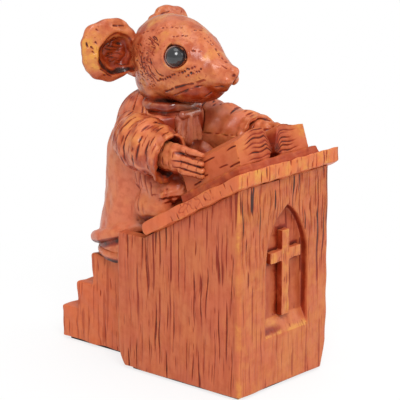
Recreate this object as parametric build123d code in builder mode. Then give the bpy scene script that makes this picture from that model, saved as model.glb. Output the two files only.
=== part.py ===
"""Church mouse ornament: a robed mouse reads from an open book at a carved pulpit with steps.

Millimetres, +Z up. The pulpit's front faces -Y, the steps run out to +Y, and the mouse's right
side is -X. The origin is under the middle of the part, on the face that it rests on.
"""

import os
from math import atan2, cos, radians, sin

from build123d import *

# Felt pad under the foot
felt_thickness = 0.8
felt_inset = 1.5

# Pulpit block
pulpit_width = 33.0
pulpit_depth = 38.0
pulpit_front_height = 50.0
pulpit_rear_height = 33.4
pulpit_rear_flat = 8.4
pulpit_wall = 3.0
pulpit_edge_round = 0.8
well_depth = 7.4
foot_taper_in = 2.4
foot_taper_up = 8.0
heel_taper_in = 1.8
heel_taper_up = 3.6

# Pointed niche in the pulpit's front and the cross that stands in it
niche_width = 15.6
niche_shift = 1.0
niche_sill_height = 12.0
niche_sill_rise = 4.2
niche_spring_height = 29.7
niche_apex_height = 43.3
niche_depth = 2.2
cross_head_gap = 6.2
cross_span = 11.2
cross_bar = 2.7
cross_thickness = 1.7

# Sloping desk board
desk_thickness = 3.1
desk_side_overhang = 1.9
desk_front_overhang = 1.4
desk_rear_gap = 0.5
desk_edge_round = 1.2

# Steps behind the pulpit, from the lowest tread up
stair_width = 20.0
stair_length = 25.6
tread_heights = (8.2, 15.4, 23.6)
tread_depth = 5.2
stair_edge_round = 0.5

# Open book, between the wall's front and the foot of the desk
book_width = 29.2
book_setback = 0.8
book_foot_gap = 12.4
book_shift = 1.2
cover_thickness = 2.4
page_inset = 0.7
right_page_width = 12.6
left_page_width = 12.4
right_page_height = 7.0
left_page_height = 6.6
page_hump = 0.9
gutter_height = 3.0
gutter_half_gap = 0.5

# Robe, in level sections from the hem to the neck
robe_height = 34.7
robe_half_width = 13.2
robe_half_depth = 12.2
robe_setback = 5.5
robe_lean = 8.5
hem_gap = 2.4
hem_roll_height = 3.4
hem_roll_rise = 4.6
hem_roll_out = 0.4
hem_roll_back = 1.0
hem_roll_swell = 3.2
hem_roll_tilt = 20.0
hump_radius = 9.8
hump_setback = 5.4
hump_drop = 4.5
cassock_inset = 1.4
cassock_flare = 0.5

# Neck, collar and the two bands that hang from it
neck_radius = 4.4
neck_height = 4.2
collar_radius = 6.7
collar_height = 3.4
collar_edge_round = 0.6
band_width = 3.0
band_length = 7.8
band_thickness = 1.1
band_clearance = 0.1
band_spread = 1.9
band_fork = 2.4

# Head, in sections from the nose to the nape
head_length = 30.4
head_half_width = 9.2
head_half_height = 10.4
nose_reach = 20.2
nose_rise = 12.2
eye_radius = 2.7

# Round cupped ears
ear_radius = 7.5
ear_depth = 3.6
ear_hollow_radius = 4.9
ear_hollow_depth = 2.2
ear_turn = 20.0
ear_spread = 10.5
ear_setback = 9.6
ear_rise = 15.4

# Wide sleeves, from a root behind the shoulder to a cuff over the book
sleeve_root_radius = 6.6
sleeve_root_spread = 9.0
sleeve_root_setback = 7.1
sleeve_root_drop = 5.0
right_cuff_radius = 6.1
right_cuff_spread = 12.5
right_cuff_up = 13.2
right_cuff_lift = 11.6
left_cuff_radius = 5.0
left_cuff_spread = 14.0
left_cuff_up = 18.8
left_cuff_lift = 10.4
cuff_wall = 1.2
cuff_depth = 4.6
cuff_taper = 12.0

# Paws that come out of the sleeves and hold the fore edges of the pages
wrist_half_width = 2.6
wrist_half_height = 2.8
palm_half_width = 2.3
palm_half_height = 3.7
palm_reach = 4.4
knuckle_reach = 6.6
knuckle_half_width = 1.7
knuckle_half_height = 3.5
finger_radius = 1.05
finger_length = 6.2
finger_pitch = 1.8
finger_count = 4

# Dowels that locate the castings
dowel_radius = 1.0
dowel_length = 8.0
dowel_spacing = 12.0
dowel_clearance = 0.05
neck_peg_radius = 1.5
neck_peg_length = 14.0

# Every cut runs this far past the face that it opens
overrun = 1.0

# Height, half width, half depth and lean of each robe section
robe_section_shares = (
    (0.00, 0.93, 0.92, 0.00),
    (0.12, 0.93, 0.92, 0.00),
    (0.55, 0.91, 0.90, 0.22),
    (0.83, 0.90, 0.88, 0.44),
    (0.95, 0.78, 0.76, 0.68),
    (1.00, 0.55, 0.54, 1.00),
)

# Height above the middle of the hem's roll and drop from its full swell
hem_roll_shares = (
    (-0.50, 1.00),
    (-0.32, 0.30),
    (0.00, 0.00),
    (0.32, 0.30),
    (0.50, 1.00),
)

# Distance from the nose, half width, half height and rise of each head section
head_section_shares = (
    (0.00, 0.09, 0.09, 0.06),
    (0.03, 0.18, 0.17, 0.02),
    (0.10, 0.31, 0.29, -0.06),
    (0.21, 0.51, 0.51, -0.07),
    (0.34, 0.75, 0.76, -0.02),
    (0.48, 0.92, 0.93, 0.03),
    (0.62, 1.00, 1.00, 0.06),
    (0.76, 0.97, 0.94, 0.10),
    (0.88, 0.78, 0.76, 0.14),
    (0.97, 0.42, 0.42, 0.18),
    (1.00, 0.14, 0.14, 0.19),
)

# Height of the cross's arm in the height of the cross
cross_arm_share = 0.71

# Place of the eye in the head: back from the nose, out from the middle, up from the nose
eye_back_share = 0.44
eye_out_share = 0.68
eye_up_share = 0.33

# Distance from root to cuff of each sleeve section, and its shares of the root and cuff radii
sleeve_section_shares = (
    (0.00, 0.40, 0.00),
    (0.12, 0.82, 0.00),
    (0.40, 1.00, 0.00),
    (0.72, 0.48, 0.50),
    (1.00, 0.00, 1.00),
)

# Depth of the ear's rim and of its back, and where the curves between them pass
ear_rim_share = 0.25
ear_crest_share = 0.12
ear_cup_out_share = 0.75
ear_cup_down_share = 0.60
ear_back_out_share = 0.70
ear_back_down_share = 0.82

# Places worked out from the sizes above
overall_length = desk_front_overhang + pulpit_depth + stair_length
front_edge = -overall_length / 2
pulpit_front = front_edge + desk_front_overhang
pulpit_rear = pulpit_front + pulpit_depth
base_height = felt_thickness
platform_height = base_height + tread_heights[-1]
slope_run = pulpit_depth - pulpit_rear_flat
slope_drop = pulpit_front_height - pulpit_rear_height
desk_slope = atan2(slope_drop, slope_run)
slope_sine = sin(desk_slope)
slope_cosine = cos(desk_slope)
desk_overhang_length = desk_front_overhang / slope_cosine
desk_foot = (slope_run - desk_rear_gap) / slope_cosine
desk_length = desk_overhang_length + desk_foot
book_length = desk_foot - book_foot_gap - book_setback
wall_top = base_height + pulpit_front_height

front_plane = Plane(origin=(0, pulpit_front, base_height), x_dir=(1, 0, 0), z_dir=(0, -1, 0))
desk_plane = Plane(
    origin=(0, pulpit_front, wall_top),
    x_dir=(1, 0, 0),
    z_dir=(0, slope_sine, slope_cosine),
)
book_plane = desk_plane.offset(desk_thickness)
page_plane = book_plane.offset(cover_thickness)

robe_bottom = platform_height + hem_gap
neck_seat = robe_bottom + robe_height
robe_centre = pulpit_rear + robe_setback
neck_centre = robe_centre - robe_lean
nose_y = neck_centre - nose_reach
nose_z = neck_seat + nose_rise


# Pulpit: a block with a sloping top, a well at the rear for the robe and a niche in front
desk_dowel_down = desk_length / 2
stair_dowel_height = tread_heights[0] / 2
with BuildPart() as pulpit_box:
    with BuildSketch(Plane.YZ):
        with BuildLine():
            Polyline(
                (pulpit_front, base_height),
                (pulpit_rear, base_height),
                (pulpit_rear, base_height + pulpit_rear_height),
                (pulpit_front + slope_run, base_height + pulpit_rear_height),
                (pulpit_front, wall_top),
                close=True,
            )
        make_face()
    extrude(amount=pulpit_width / 2, both=True)
    fillet(pulpit_box.edges().filter_by(Axis.Z).group_by(Axis.Y)[0], radius=pulpit_edge_round)
    with BuildSketch(Plane.XY.offset(platform_height)):
        with Locations((0, pulpit_rear + overrun / 2 - well_depth / 2)):
            Rectangle(pulpit_width - 2 * pulpit_wall, well_depth + overrun)
    extrude(amount=pulpit_rear_height, mode=Mode.SUBTRACT)
    with BuildSketch(Plane.XZ.offset(-pulpit_rear - overrun)):
        with BuildLine():
            Polyline(
                (pulpit_width / 2, base_height),
                (pulpit_width / 2, base_height + foot_taper_up),
                (pulpit_width / 2 - foot_taper_in, base_height),
                close=True,
            )
        make_face()
    extrude(amount=pulpit_depth + 2 * overrun, mode=Mode.SUBTRACT)
    for side in (-1, 1):
        with BuildSketch(Plane.YZ.offset(side * stair_width / 2)):
            with BuildLine():
                Polyline(
                    (pulpit_rear, base_height),
                    (pulpit_rear, base_height + heel_taper_up),
                    (pulpit_rear - heel_taper_in, base_height),
                    close=True,
                )
            make_face()
        extrude(amount=side * pulpit_width / 2, mode=Mode.SUBTRACT)
    with BuildSketch(front_plane):
        with BuildLine():
            Polyline(
                (niche_shift - niche_width / 2, niche_spring_height),
                (niche_shift - niche_width / 2, niche_sill_height + niche_sill_rise),
                (niche_shift + niche_width / 2, niche_sill_height + niche_sill_rise),
                (niche_shift + niche_width / 2, niche_spring_height),
            )
            for side in (-1, 1):
                TangentArc(
                    (niche_shift + side * niche_width / 2, niche_spring_height),
                    (niche_shift, niche_apex_height),
                    tangent=(0, 1),
                )
        make_face()
    extrude(amount=-niche_depth, mode=Mode.SUBTRACT)
    with BuildSketch(Plane.YZ.offset(niche_shift - niche_width / 2)):
        with BuildLine():
            Polyline(
                (pulpit_front, base_height + niche_sill_height),
                (pulpit_front, base_height + niche_sill_height + niche_sill_rise),
                (pulpit_front + niche_depth, base_height + niche_sill_height + niche_sill_rise),
                close=True,
            )
        make_face()
    extrude(amount=niche_width, mode=Mode.SUBTRACT)
    with BuildSketch(desk_plane):
        with Locations((-dowel_spacing / 2, desk_dowel_down), (dowel_spacing / 2, desk_dowel_down)):
            Circle(dowel_radius + dowel_clearance)
    extrude(amount=-(dowel_length - desk_thickness / 2), mode=Mode.SUBTRACT)
    with BuildSketch(Plane.XZ.offset(-pulpit_rear)):
        with Locations(
            (-dowel_spacing / 2, base_height + stair_dowel_height),
            (dowel_spacing / 2, base_height + stair_dowel_height),
        ):
            Circle(dowel_radius + dowel_clearance)
    extrude(amount=dowel_length / 2, mode=Mode.SUBTRACT)
pulpit_box.part.label = "pulpit_box"

# Desk board with a plumb front edge and a rounded low edge
desk_front_bottom = Vector(front_edge, wall_top + desk_overhang_length * slope_sine)
desk_front_top = desk_front_bottom + Vector(0, desk_thickness / slope_cosine)
desk_rear_top = desk_front_top + Vector(desk_length * slope_cosine, -desk_length * slope_sine)
desk_rear_bottom = desk_rear_top - Vector(desk_thickness * slope_sine, desk_thickness * slope_cosine)
desk_width = pulpit_width + 2 * desk_side_overhang
with BuildPart() as desk_top:
    with BuildSketch(Plane.YZ):
        with BuildLine():
            Polyline(desk_front_bottom, desk_front_top, desk_rear_top, desk_rear_bottom, close=True)
        make_face()
    extrude(amount=desk_width / 2, both=True)
    low_edges = desk_top.edges().filter_by(Axis.X).sort_by(Axis.Y)[-2:]
    fillet(low_edges, radius=desk_edge_round)
    with BuildSketch(desk_plane):
        with Locations((-dowel_spacing / 2, desk_dowel_down), (dowel_spacing / 2, desk_dowel_down)):
            Circle(dowel_radius + dowel_clearance)
    extrude(amount=desk_thickness / 2, mode=Mode.SUBTRACT)
desk_top.part.label = "desk_top"

# Dowels between the pulpit and the desk board
with BuildPart() as desk_pins:
    with BuildSketch(desk_plane.offset(desk_thickness / 2)):
        with Locations((-dowel_spacing / 2, desk_dowel_down), (dowel_spacing / 2, desk_dowel_down)):
            Circle(dowel_radius)
    extrude(amount=-dowel_length)
desk_pins.part.label = "desk_pins"

# Cross on the back of the niche
cross_foot = niche_sill_height + niche_sill_rise
cross_height = niche_apex_height - cross_head_gap - cross_foot
with BuildPart() as niche_cross:
    with BuildSketch(front_plane.offset(-niche_depth)):
        with Locations((niche_shift, cross_foot + cross_height / 2)):
            Rectangle(cross_bar, cross_height)
        with Locations((niche_shift, cross_foot + cross_arm_share * cross_height)):
            Rectangle(cross_span, cross_bar)
    extrude(amount=cross_thickness)
niche_cross.part.label = "niche_cross"

# Steps, cut as one block whose top tread carries the robe
stair_rear = pulpit_rear + stair_length
with BuildPart() as stair_block:
    with BuildSketch(Plane.YZ):
        with BuildLine():
            corners = [(pulpit_rear, base_height), (stair_rear, base_height)]
            for step, height in enumerate(tread_heights):
                corners.append((stair_rear - step * tread_depth, base_height + height))
                corners.append((stair_rear - (step + 1) * tread_depth, base_height + height))
            corners[-1] = (pulpit_rear, platform_height)
            Polyline(*corners, close=True)
        make_face()
    extrude(amount=stair_width / 2, both=True)
    nosings = stair_block.edges().filter_by(Axis.X).group_by(Axis.Y)[1:]
    treads = [group.sort_by(Axis.Z)[-1] for group in nosings]
    fillet(treads, radius=stair_edge_round)
    with BuildSketch(Plane.XZ.offset(-pulpit_rear)):
        with Locations(
            (-dowel_spacing / 2, base_height + stair_dowel_height),
            (dowel_spacing / 2, base_height + stair_dowel_height),
        ):
            Circle(dowel_radius + dowel_clearance)
    extrude(amount=-dowel_length / 2, mode=Mode.SUBTRACT)
stair_block.part.label = "stair_block"

# Dowels between the pulpit and the steps
with BuildPart() as stair_pins:
    with BuildSketch(Plane.XZ.offset(-pulpit_rear)):
        with Locations(
            (-dowel_spacing / 2, base_height + stair_dowel_height),
            (dowel_spacing / 2, base_height + stair_dowel_height),
        ):
            Circle(dowel_radius)
    extrude(amount=dowel_length / 2, both=True)
stair_pins.part.label = "stair_pins"

# Felt pad, cut to the outline of the pulpit and the steps
with BuildPart() as felt_pad:
    with BuildSketch(Plane.XY):
        with Locations((-foot_taper_in / 2, (pulpit_front + pulpit_rear - heel_taper_in) / 2)):
            Rectangle(
                pulpit_width - foot_taper_in - 2 * felt_inset,
                pulpit_depth - heel_taper_in - 2 * felt_inset,
            )
        with Locations((0, (pulpit_rear + stair_rear) / 2 - felt_inset - heel_taper_in)):
            Rectangle(stair_width - 2 * felt_inset, stair_length + 2 * heel_taper_in)
    extrude(amount=felt_thickness)
felt_pad.part.label = "felt_pad"

# Open book: the cover lies on the desk, and a block of pages swells on each side of the gutter
with BuildPart() as book_cover:
    with BuildSketch(book_plane):
        with Locations((book_shift, book_setback + book_length / 2)):
            Rectangle(book_width, book_length)
    extrude(amount=cover_thickness)
book_cover.part.label = "book_cover"


def page_block(side, width, height):
    """Pages on one side of the gutter, square at the fore edge and rolling down to the spine."""
    head_plane = Plane(
        origin=page_plane.from_local_coords(Vector(book_shift, book_setback + page_inset, 0)),
        x_dir=(side, 0, 0),
        z_dir=page_plane.y_dir * -side,
    )
    with BuildPart() as block:
        with BuildSketch(head_plane):
            with BuildLine():
                Polyline(
                    (gutter_half_gap, gutter_height),
                    (gutter_half_gap, gutter_height / 2),
                    (gutter_height / 2 + gutter_half_gap, 0),
                    (width, 0),
                    (width, height),
                )
                ThreePointArc(
                    (width, height),
                    ((width + gutter_half_gap) / 2, (height + gutter_height) / 2 + 2 * page_hump),
                    (gutter_half_gap, gutter_height),
                )
            make_face()
        extrude(amount=-side * (book_length - 2 * page_inset))
    return block.part


with BuildPart() as right_pages:
    add(page_block(-1, right_page_width, right_page_height))
right_pages.part.label = "right_pages"

with BuildPart() as left_pages:
    add(page_block(1, left_page_width, left_page_height))
left_pages.part.label = "left_pages"

# Cassock: the inner gown, seen only under the robe's hem
cassock_half_width = robe_half_width - cassock_inset
cassock_half_depth = robe_half_depth - cassock_inset
with BuildPart() as cassock:
    for height, flare in ((platform_height, cassock_flare), (robe_bottom, 0)):
        with BuildSketch(Plane((0, robe_centre, height))):
            Ellipse(cassock_half_width + flare, cassock_half_depth + flare)
    loft()
cassock.part.label = "cassock"

# Round of the shoulders behind the neck, which the collar and the head are cut to fit
with BuildPart() as shoulder_hump:
    with Locations((0, neck_centre + hump_setback, neck_seat - hump_drop)):
        Sphere(hump_radius)

# Robe, with a rolled hem that dips at the rear and a short neck that carries the collar and the head
with BuildPart() as robe:
    for height, width, depth, lean in robe_section_shares:
        level = Plane((0, robe_centre - lean * robe_lean, robe_bottom + height * robe_height))
        with BuildSketch(level):
            Ellipse(width * robe_half_width, depth * robe_half_depth)
    loft()
    tilt = radians(hem_roll_tilt)
    hem_middle = Plane(
        origin=(0, robe_centre + hem_roll_back, robe_bottom + hem_roll_rise),
        x_dir=(1, 0, 0),
        z_dir=(0, sin(tilt), cos(tilt)),
    )
    for height, drop in hem_roll_shares:
        swell = hem_roll_out - drop * hem_roll_swell
        with BuildSketch(hem_middle.offset(height * hem_roll_height)):
            Ellipse(robe_half_width + swell, robe_half_depth + swell)
    loft()
    add(cassock.part, mode=Mode.SUBTRACT)
    add(shoulder_hump.part)
    with BuildSketch(Plane.XY.offset(neck_seat)):
        with Locations((0, neck_centre)):
            Circle(neck_radius)
    extrude(amount=neck_height)
    with BuildSketch(Plane.XY.offset(neck_seat + neck_peg_length / 2)):
        with Locations((0, neck_centre)):
            Circle(neck_peg_radius + dowel_clearance)
    extrude(amount=-neck_peg_length, mode=Mode.SUBTRACT)
robe.part.label = "robe"

# Peg through the neck into the head
with BuildPart() as neck_peg:
    with BuildSketch(Plane.XY.offset(neck_seat - neck_peg_length / 2)):
        with Locations((0, neck_centre)):
            Circle(neck_peg_radius)
    extrude(amount=neck_peg_length)
neck_peg.part.label = "neck_peg"

# Collar ring round the neck
with BuildPart() as collar:
    with BuildSketch(Plane.XY.offset(neck_seat)):
        with Locations((0, neck_centre)):
            Circle(collar_radius)
            Circle(neck_radius, mode=Mode.SUBTRACT)
    extrude(amount=collar_height)
    outer_edges = collar.edges().filter_by(GeomType.CIRCLE).sort_by(SortBy.RADIUS)[-2:]
    fillet(outer_edges, radius=collar_edge_round)
    add(shoulder_hump.part, mode=Mode.SUBTRACT)
collar.part.label = "collar"

# Two bands that hang side by side from the collar, in front of the chest
chest_reach = max(lean * robe_lean + depth * robe_half_depth for _, _, depth, lean in robe_section_shares)
band_rear = min(neck_centre - collar_radius, robe_centre - chest_reach) - band_clearance
band_top = neck_seat + collar_height / 4
band_bottom = band_top - band_length
with BuildPart() as bands:
    with BuildSketch(Plane.XZ.offset(-band_rear)):
        with BuildLine():
            Polyline(
                (-band_width, band_top),
                (band_width, band_top),
                (band_width + band_spread, band_bottom),
                (band_spread, band_bottom),
                (0, band_top - band_fork),
                (-band_spread, band_bottom),
                (-band_width - band_spread, band_bottom),
                close=True,
            )
        make_face()
    extrude(amount=band_thickness)
bands.part.label = "bands"

# Head: a pear that narrows to the snout, with sockets for the neck, the peg and the eyes
eye_y = nose_y + eye_back_share * head_length
eye_z = nose_z + eye_up_share * head_half_height
eye_x = eye_out_share * head_half_width
with BuildPart() as head:
    for back, width, height, rise in head_section_shares:
        slice_centre = (0, nose_y + back * head_length, nose_z + rise * head_half_height)
        with BuildSketch(Plane(slice_centre, x_dir=(1, 0, 0), z_dir=(0, -1, 0))):
            Ellipse(width * head_half_width, height * head_half_height)
    loft()
    with BuildSketch(Plane.XY.offset(neck_seat - overrun)):
        with Locations((0, neck_centre)):
            Circle(collar_radius)
    extrude(amount=collar_height + overrun, mode=Mode.SUBTRACT)
    with BuildSketch(Plane.XY.offset(neck_seat)):
        with Locations((0, neck_centre)):
            Circle(neck_radius)
    extrude(amount=neck_height, mode=Mode.SUBTRACT)
    with BuildSketch(Plane.XY.offset(neck_seat)):
        with Locations((0, neck_centre)):
            Circle(neck_peg_radius + dowel_clearance)
    extrude(amount=neck_peg_length / 2, mode=Mode.SUBTRACT)
    add(shoulder_hump.part, mode=Mode.SUBTRACT)
    with Locations((-eye_x, eye_y, eye_z), (eye_x, eye_y, eye_z)):
        Sphere(eye_radius, mode=Mode.SUBTRACT)
head.part.label = "head"

# Eyes: polished beads set in the sockets
with BuildPart() as right_eye:
    with Locations((-eye_x, eye_y, eye_z)):
        Sphere(eye_radius)
right_eye.part.label = "right_eye"

with BuildPart() as left_eye:
    with Locations((eye_x, eye_y, eye_z)):
        Sphere(eye_radius)
left_eye.part.label = "left_eye"


def ear(side):
    """Round cup that faces forward and a little outward, trimmed where it meets the head."""
    turn = radians(ear_turn)
    facing = Vector(side * sin(turn), -cos(turn), 0)
    centre = Vector(side * ear_spread, neck_centre + ear_setback, neck_seat + ear_rise)
    half_plane = Plane(origin=centre, x_dir=(0, 0, 1), z_dir=(-facing.Y, facing.X, 0))
    with BuildPart() as cup:
        with BuildSketch(half_plane):
            with BuildLine():
                Line((0, -ear_depth), (0, -ear_hollow_depth))
                ThreePointArc(
                    (0, -ear_hollow_depth),
                    (ear_cup_out_share * ear_hollow_radius, -ear_cup_down_share * ear_hollow_depth),
                    (ear_hollow_radius, 0),
                )
                ThreePointArc(
                    (ear_hollow_radius, 0),
                    ((ear_hollow_radius + ear_radius) / 2, ear_crest_share * ear_depth),
                    (ear_radius, -ear_rim_share * ear_depth),
                )
                ThreePointArc(
                    (ear_radius, -ear_rim_share * ear_depth),
                    (ear_back_out_share * ear_radius, -ear_back_down_share * ear_depth),
                    (0, -ear_depth),
                )
            make_face()
        revolve(axis=Axis(centre, facing))
        add(head.part, mode=Mode.SUBTRACT)
    return cup.part.solids().sort_by(SortBy.VOLUME)[-1]


with BuildPart() as right_ear:
    add(ear(-1))
right_ear.part.label = "right_ear"

with BuildPart() as left_ear:
    add(ear(1))
left_ear.part.label = "left_ear"


def cuff_centre(side, spread, up, lift):
    """Middle of a cuff's opening, up the slope from the desk's foot and out from its face."""
    return book_plane.from_local_coords(Vector(side * spread, desk_foot - up, lift))


def sleeve(side, cuff, cuff_radius, pages):
    """Bell of cloth from behind the shoulder to an open cuff, trimmed by what it lies against."""
    root = Vector(
        side * sleeve_root_spread,
        neck_centre + sleeve_root_setback,
        neck_seat - sleeve_root_drop,
    )
    arm = cuff - root
    with BuildPart() as bell:
        for along, root_part, cuff_part in sleeve_section_shares:
            with BuildSketch(Plane(origin=root + arm * along, x_dir=(1, 0, 0), z_dir=arm)):
                Circle(root_part * sleeve_root_radius + cuff_part * cuff_radius)
        loft()
        with BuildSketch(Plane(origin=cuff, x_dir=(1, 0, 0), z_dir=-arm)):
            Circle(cuff_radius - cuff_wall)
        extrude(amount=cuff_depth, taper=cuff_taper, mode=Mode.SUBTRACT)
        for neighbour in (robe.part, bands.part, pages):
            add(neighbour, mode=Mode.SUBTRACT)
    return bell.part.solids().sort_by(SortBy.VOLUME)[-1]


right_cuff = cuff_centre(-1, right_cuff_spread, right_cuff_up, right_cuff_lift)
left_cuff = cuff_centre(1, left_cuff_spread, left_cuff_up, left_cuff_lift)

with BuildPart() as right_sleeve:
    add(sleeve(-1, right_cuff, right_cuff_radius, right_pages.part))
right_sleeve.part.label = "right_sleeve"

with BuildPart() as left_sleeve:
    add(sleeve(1, left_cuff, left_cuff_radius, left_pages.part))
left_sleeve.part.label = "left_sleeve"


def paw(cuff, bell, pages):
    """Wrist, palm and a row of fingers, trimmed where they meet the sleeve and the book."""
    palm_plane = Plane(origin=cuff, x_dir=(1, 0, 0), z_dir=(0, -1, 0))
    sections = (
        (-cuff_depth, wrist_half_width, wrist_half_height),
        (0, wrist_half_width, wrist_half_height),
        (palm_reach, palm_half_width, palm_half_height),
        (knuckle_reach, knuckle_half_width, knuckle_half_height),
    )
    finger_shank = finger_length - finger_radius
    with BuildPart() as hand:
        for reach, half_width, half_height in sections:
            with BuildSketch(palm_plane.offset(reach)):
                Ellipse(half_width, half_height)
        loft()
        for finger in range(finger_count):
            level = (finger - (finger_count - 1) / 2) * finger_pitch
            root = palm_plane.from_local_coords(Vector(0, level, palm_reach))
            with BuildSketch(Plane(origin=root, x_dir=(1, 0, 0), z_dir=(0, 0, 1))):
                with BuildLine():
                    Polyline((0, -finger_length), (0, 0), (finger_radius, 0), (finger_radius, -finger_shank))
                    TangentArc((finger_radius, -finger_shank), (0, -finger_length), tangent=(0, -1))
                make_face()
            revolve(axis=Axis(root, (0, -1, 0)))
        for neighbour in (bell, pages, book_cover.part):
            add(neighbour, mode=Mode.SUBTRACT)
    return hand.part.solids().sort_by(SortBy.VOLUME)[-1]


with BuildPart() as right_paw:
    add(paw(right_cuff, right_sleeve.part, right_pages.part))
right_paw.part.label = "right_paw"

with BuildPart() as left_paw:
    add(paw(left_cuff, left_sleeve.part, left_pages.part))
left_paw.part.label = "left_paw"

os.makedirs("parts", exist_ok=True)
for piece in (
    felt_pad,
    pulpit_box,
    niche_cross,
    stair_block,
    stair_pins,
    desk_top,
    desk_pins,
    book_cover,
    right_pages,
    left_pages,
    cassock,
    robe,
    neck_peg,
    collar,
    bands,
    head,
    right_eye,
    left_eye,
    right_ear,
    left_ear,
    right_sleeve,
    left_sleeve,
    right_paw,
    left_paw,
):
    export_step(piece.part, f"parts/{piece.part.label}.step")
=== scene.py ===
import math
from collections import namedtuple

import bmesh
import bpy
import numpy as np
from bpy.props import FloatProperty, FloatVectorProperty, IntProperty, PointerProperty
from bpy.types import Operator, Panel, PropertyGroup
from mathutils import Matrix, Vector


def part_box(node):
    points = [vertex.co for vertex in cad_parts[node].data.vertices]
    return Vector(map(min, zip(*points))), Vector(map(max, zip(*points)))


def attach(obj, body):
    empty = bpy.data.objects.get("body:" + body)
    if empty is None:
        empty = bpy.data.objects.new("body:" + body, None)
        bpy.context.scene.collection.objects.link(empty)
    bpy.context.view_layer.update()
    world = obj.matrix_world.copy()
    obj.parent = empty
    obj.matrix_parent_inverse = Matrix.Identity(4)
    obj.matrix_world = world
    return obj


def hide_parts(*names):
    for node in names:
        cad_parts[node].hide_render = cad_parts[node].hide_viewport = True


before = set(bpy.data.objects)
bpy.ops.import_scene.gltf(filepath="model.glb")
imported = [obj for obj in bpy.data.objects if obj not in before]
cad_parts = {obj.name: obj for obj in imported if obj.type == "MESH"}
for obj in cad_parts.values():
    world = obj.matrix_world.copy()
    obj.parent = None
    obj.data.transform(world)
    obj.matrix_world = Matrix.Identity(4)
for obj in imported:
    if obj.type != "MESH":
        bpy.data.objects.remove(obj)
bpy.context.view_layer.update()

bl_info = {
    "name": "Church mouse at a pulpit",
    "version": (1, 0, 0),
    "blender": (4, 5, 0),
    "location": "3D View > Sidebar > Church Mouse",
    "description": "Carves and paints a resin mouse that reads from a book at a pulpit",
    "category": "Object",
}

# Lengths in this script are millimetres until a piece is finished
MM = 0.001
WELD = 0.001
MOST_TRIANGLES = 190000
ROOT = "root"

# How the paint settles: bend of the skin, per grid step, where wash and wear begin,
# how much more bend gives the full amount, and rounds that even the bend out
HOLLOW_BEND = 0.06
RIDGE_BEND = 0.05
BEND_RANGE = 0.2
BEND_ROUNDS = 2
RIPPLE_WAVES = 7


def node_box(node):
    """Lowest and highest corner of a CAD node, in millimetres."""
    low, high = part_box(node)
    return np.array(low) / MM, np.array(high) / MM


PULPIT_LOW, PULPIT_HIGH = node_box("pulpit_box")
DESK_LOW, DESK_HIGH = node_box("desk_top")
STAIR_LOW, STAIR_HIGH = node_box("stair_block")
COLLAR_LOW, COLLAR_HIGH = node_box("collar")
ROBE_HIGH = node_box("robe")[1]
CASSOCK_LOW, CASSOCK_HIGH = node_box("cassock")
PEG_LOW, PEG_HIGH = node_box("neck_peg")
NECK = np.array([0.0, (PEG_LOW[1] + PEG_HIGH[1]) / 2, COLLAR_LOW[2]])
SKULL = NECK + (0, 0, 2.0)
HEM_CENTRE = np.array([0.0, (CASSOCK_LOW[1] + CASSOCK_HIGH[1]) / 2, CASSOCK_HIGH[2]])


def paint_setting(name, description, value):
    """Setting for one paint, as linear red, green and blue."""
    return FloatVectorProperty(
        name=name, description=description, subtype="COLOR", size=4, min=0, max=1,
        default=(*value, 1),
    )


def gloss_setting(name, description, value):
    """Setting for the roughness of a varnish."""
    return FloatProperty(
        name=name, description=description, subtype="FACTOR", min=0, max=1, default=value,
    )


def length_setting(name, description, value, least, most):
    """Setting for a length of the carving."""
    return FloatProperty(
        name=name, description=f"{description}, in mm", min=least, max=most, default=value,
    )


class MouseFinish(PropertyGroup):
    """Paint colours and gloss of the ornament."""

    pulpit: paint_setting("Pulpit", "Terracotta on the pulpit and the cross", (0.525, 0.119, 0.048))
    # The steps' terracotta is lighter than the pulpit's, which paints in the stronger light on the
    # steps and the desk.
    steps: paint_setting(
        "Steps", "Lighter terracotta on the steps and the desk", (0.620, 0.136, 0.048))
    robe: paint_setting(
        "Robe", "Terracotta on the robe, the sleeves and the paws", (0.645, 0.168, 0.076))
    fur: paint_setting("Fur", "Orange on the head and the ears", (0.565, 0.150, 0.064))
    linen: paint_setting("Linen", "Pink on the collar and the bands", (0.460, 0.130, 0.080))
    book: paint_setting("Book", "Terracotta on the book", (0.565, 0.122, 0.042))
    ochre: paint_setting("Ochre", "Dry-brushed yellow on the raised edges", (0.640, 0.270, 0.050))
    # The wash colour also paints the shade in recesses and under parts.
    wash: paint_setting("Wash", "Dark wash in the carved lines", (0.030, 0.009, 0.006))
    eye: paint_setting("Eye", "Black of the eye beads", (0.020, 0.020, 0.022))
    satin: gloss_setting("Satin", "Roughness of the varnish on the pulpit", 0.46)
    gloss: gloss_setting("Gloss", "Roughness of the varnish on the mouse", 0.30)


class MouseCarving(PropertyGroup):
    """Depth and fineness of the carving, in millimetres."""

    seed: IntProperty(name="Seed", description="Start of the random carving", default=11, min=0)
    fine: length_setting("Fine grid", "Spacing of the mesh on the cloth and the book", 0.24, 0.1, 1)
    coarse: length_setting(
        "Coarse grid", "Spacing of the mesh on the pulpit and the steps", 0.20, 0.1, 1)
    gouge_depth: length_setting("Gouge depth", "Depth of the long cuts in the pulpit", 0.42, 0, 2)
    gouge_width: length_setting(
        "Gouge width", "Half width of the long cuts in the pulpit", 0.17, 0.05, 2)
    dash_depth: length_setting("Dash depth", "Depth of the short cuts in the cloth", 0.34, 0, 2)
    dash_width: length_setting(
        "Dash width", "Half width of the short cuts in the cloth", 0.24, 0.05, 2)


def finish():
    """The paint settings."""
    return bpy.context.scene.mouse_finish


def carving():
    """The carving settings."""
    return bpy.context.scene.mouse_carving


def rng(step):
    """Random numbers for one piece, the same in each run."""
    return np.random.default_rng(carving().seed + step)


# Meshes


def link(name, mesh):
    """New object in the scene, at the origin."""
    piece = bpy.data.objects.new(name, mesh)
    bpy.context.scene.collection.objects.link(piece)
    return piece


def mesh_from(bm, name):
    """Mesh with what bm holds, which is then let go."""
    mesh = bpy.data.meshes.new(name)
    bm.to_mesh(mesh)
    bm.free()
    return mesh


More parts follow.
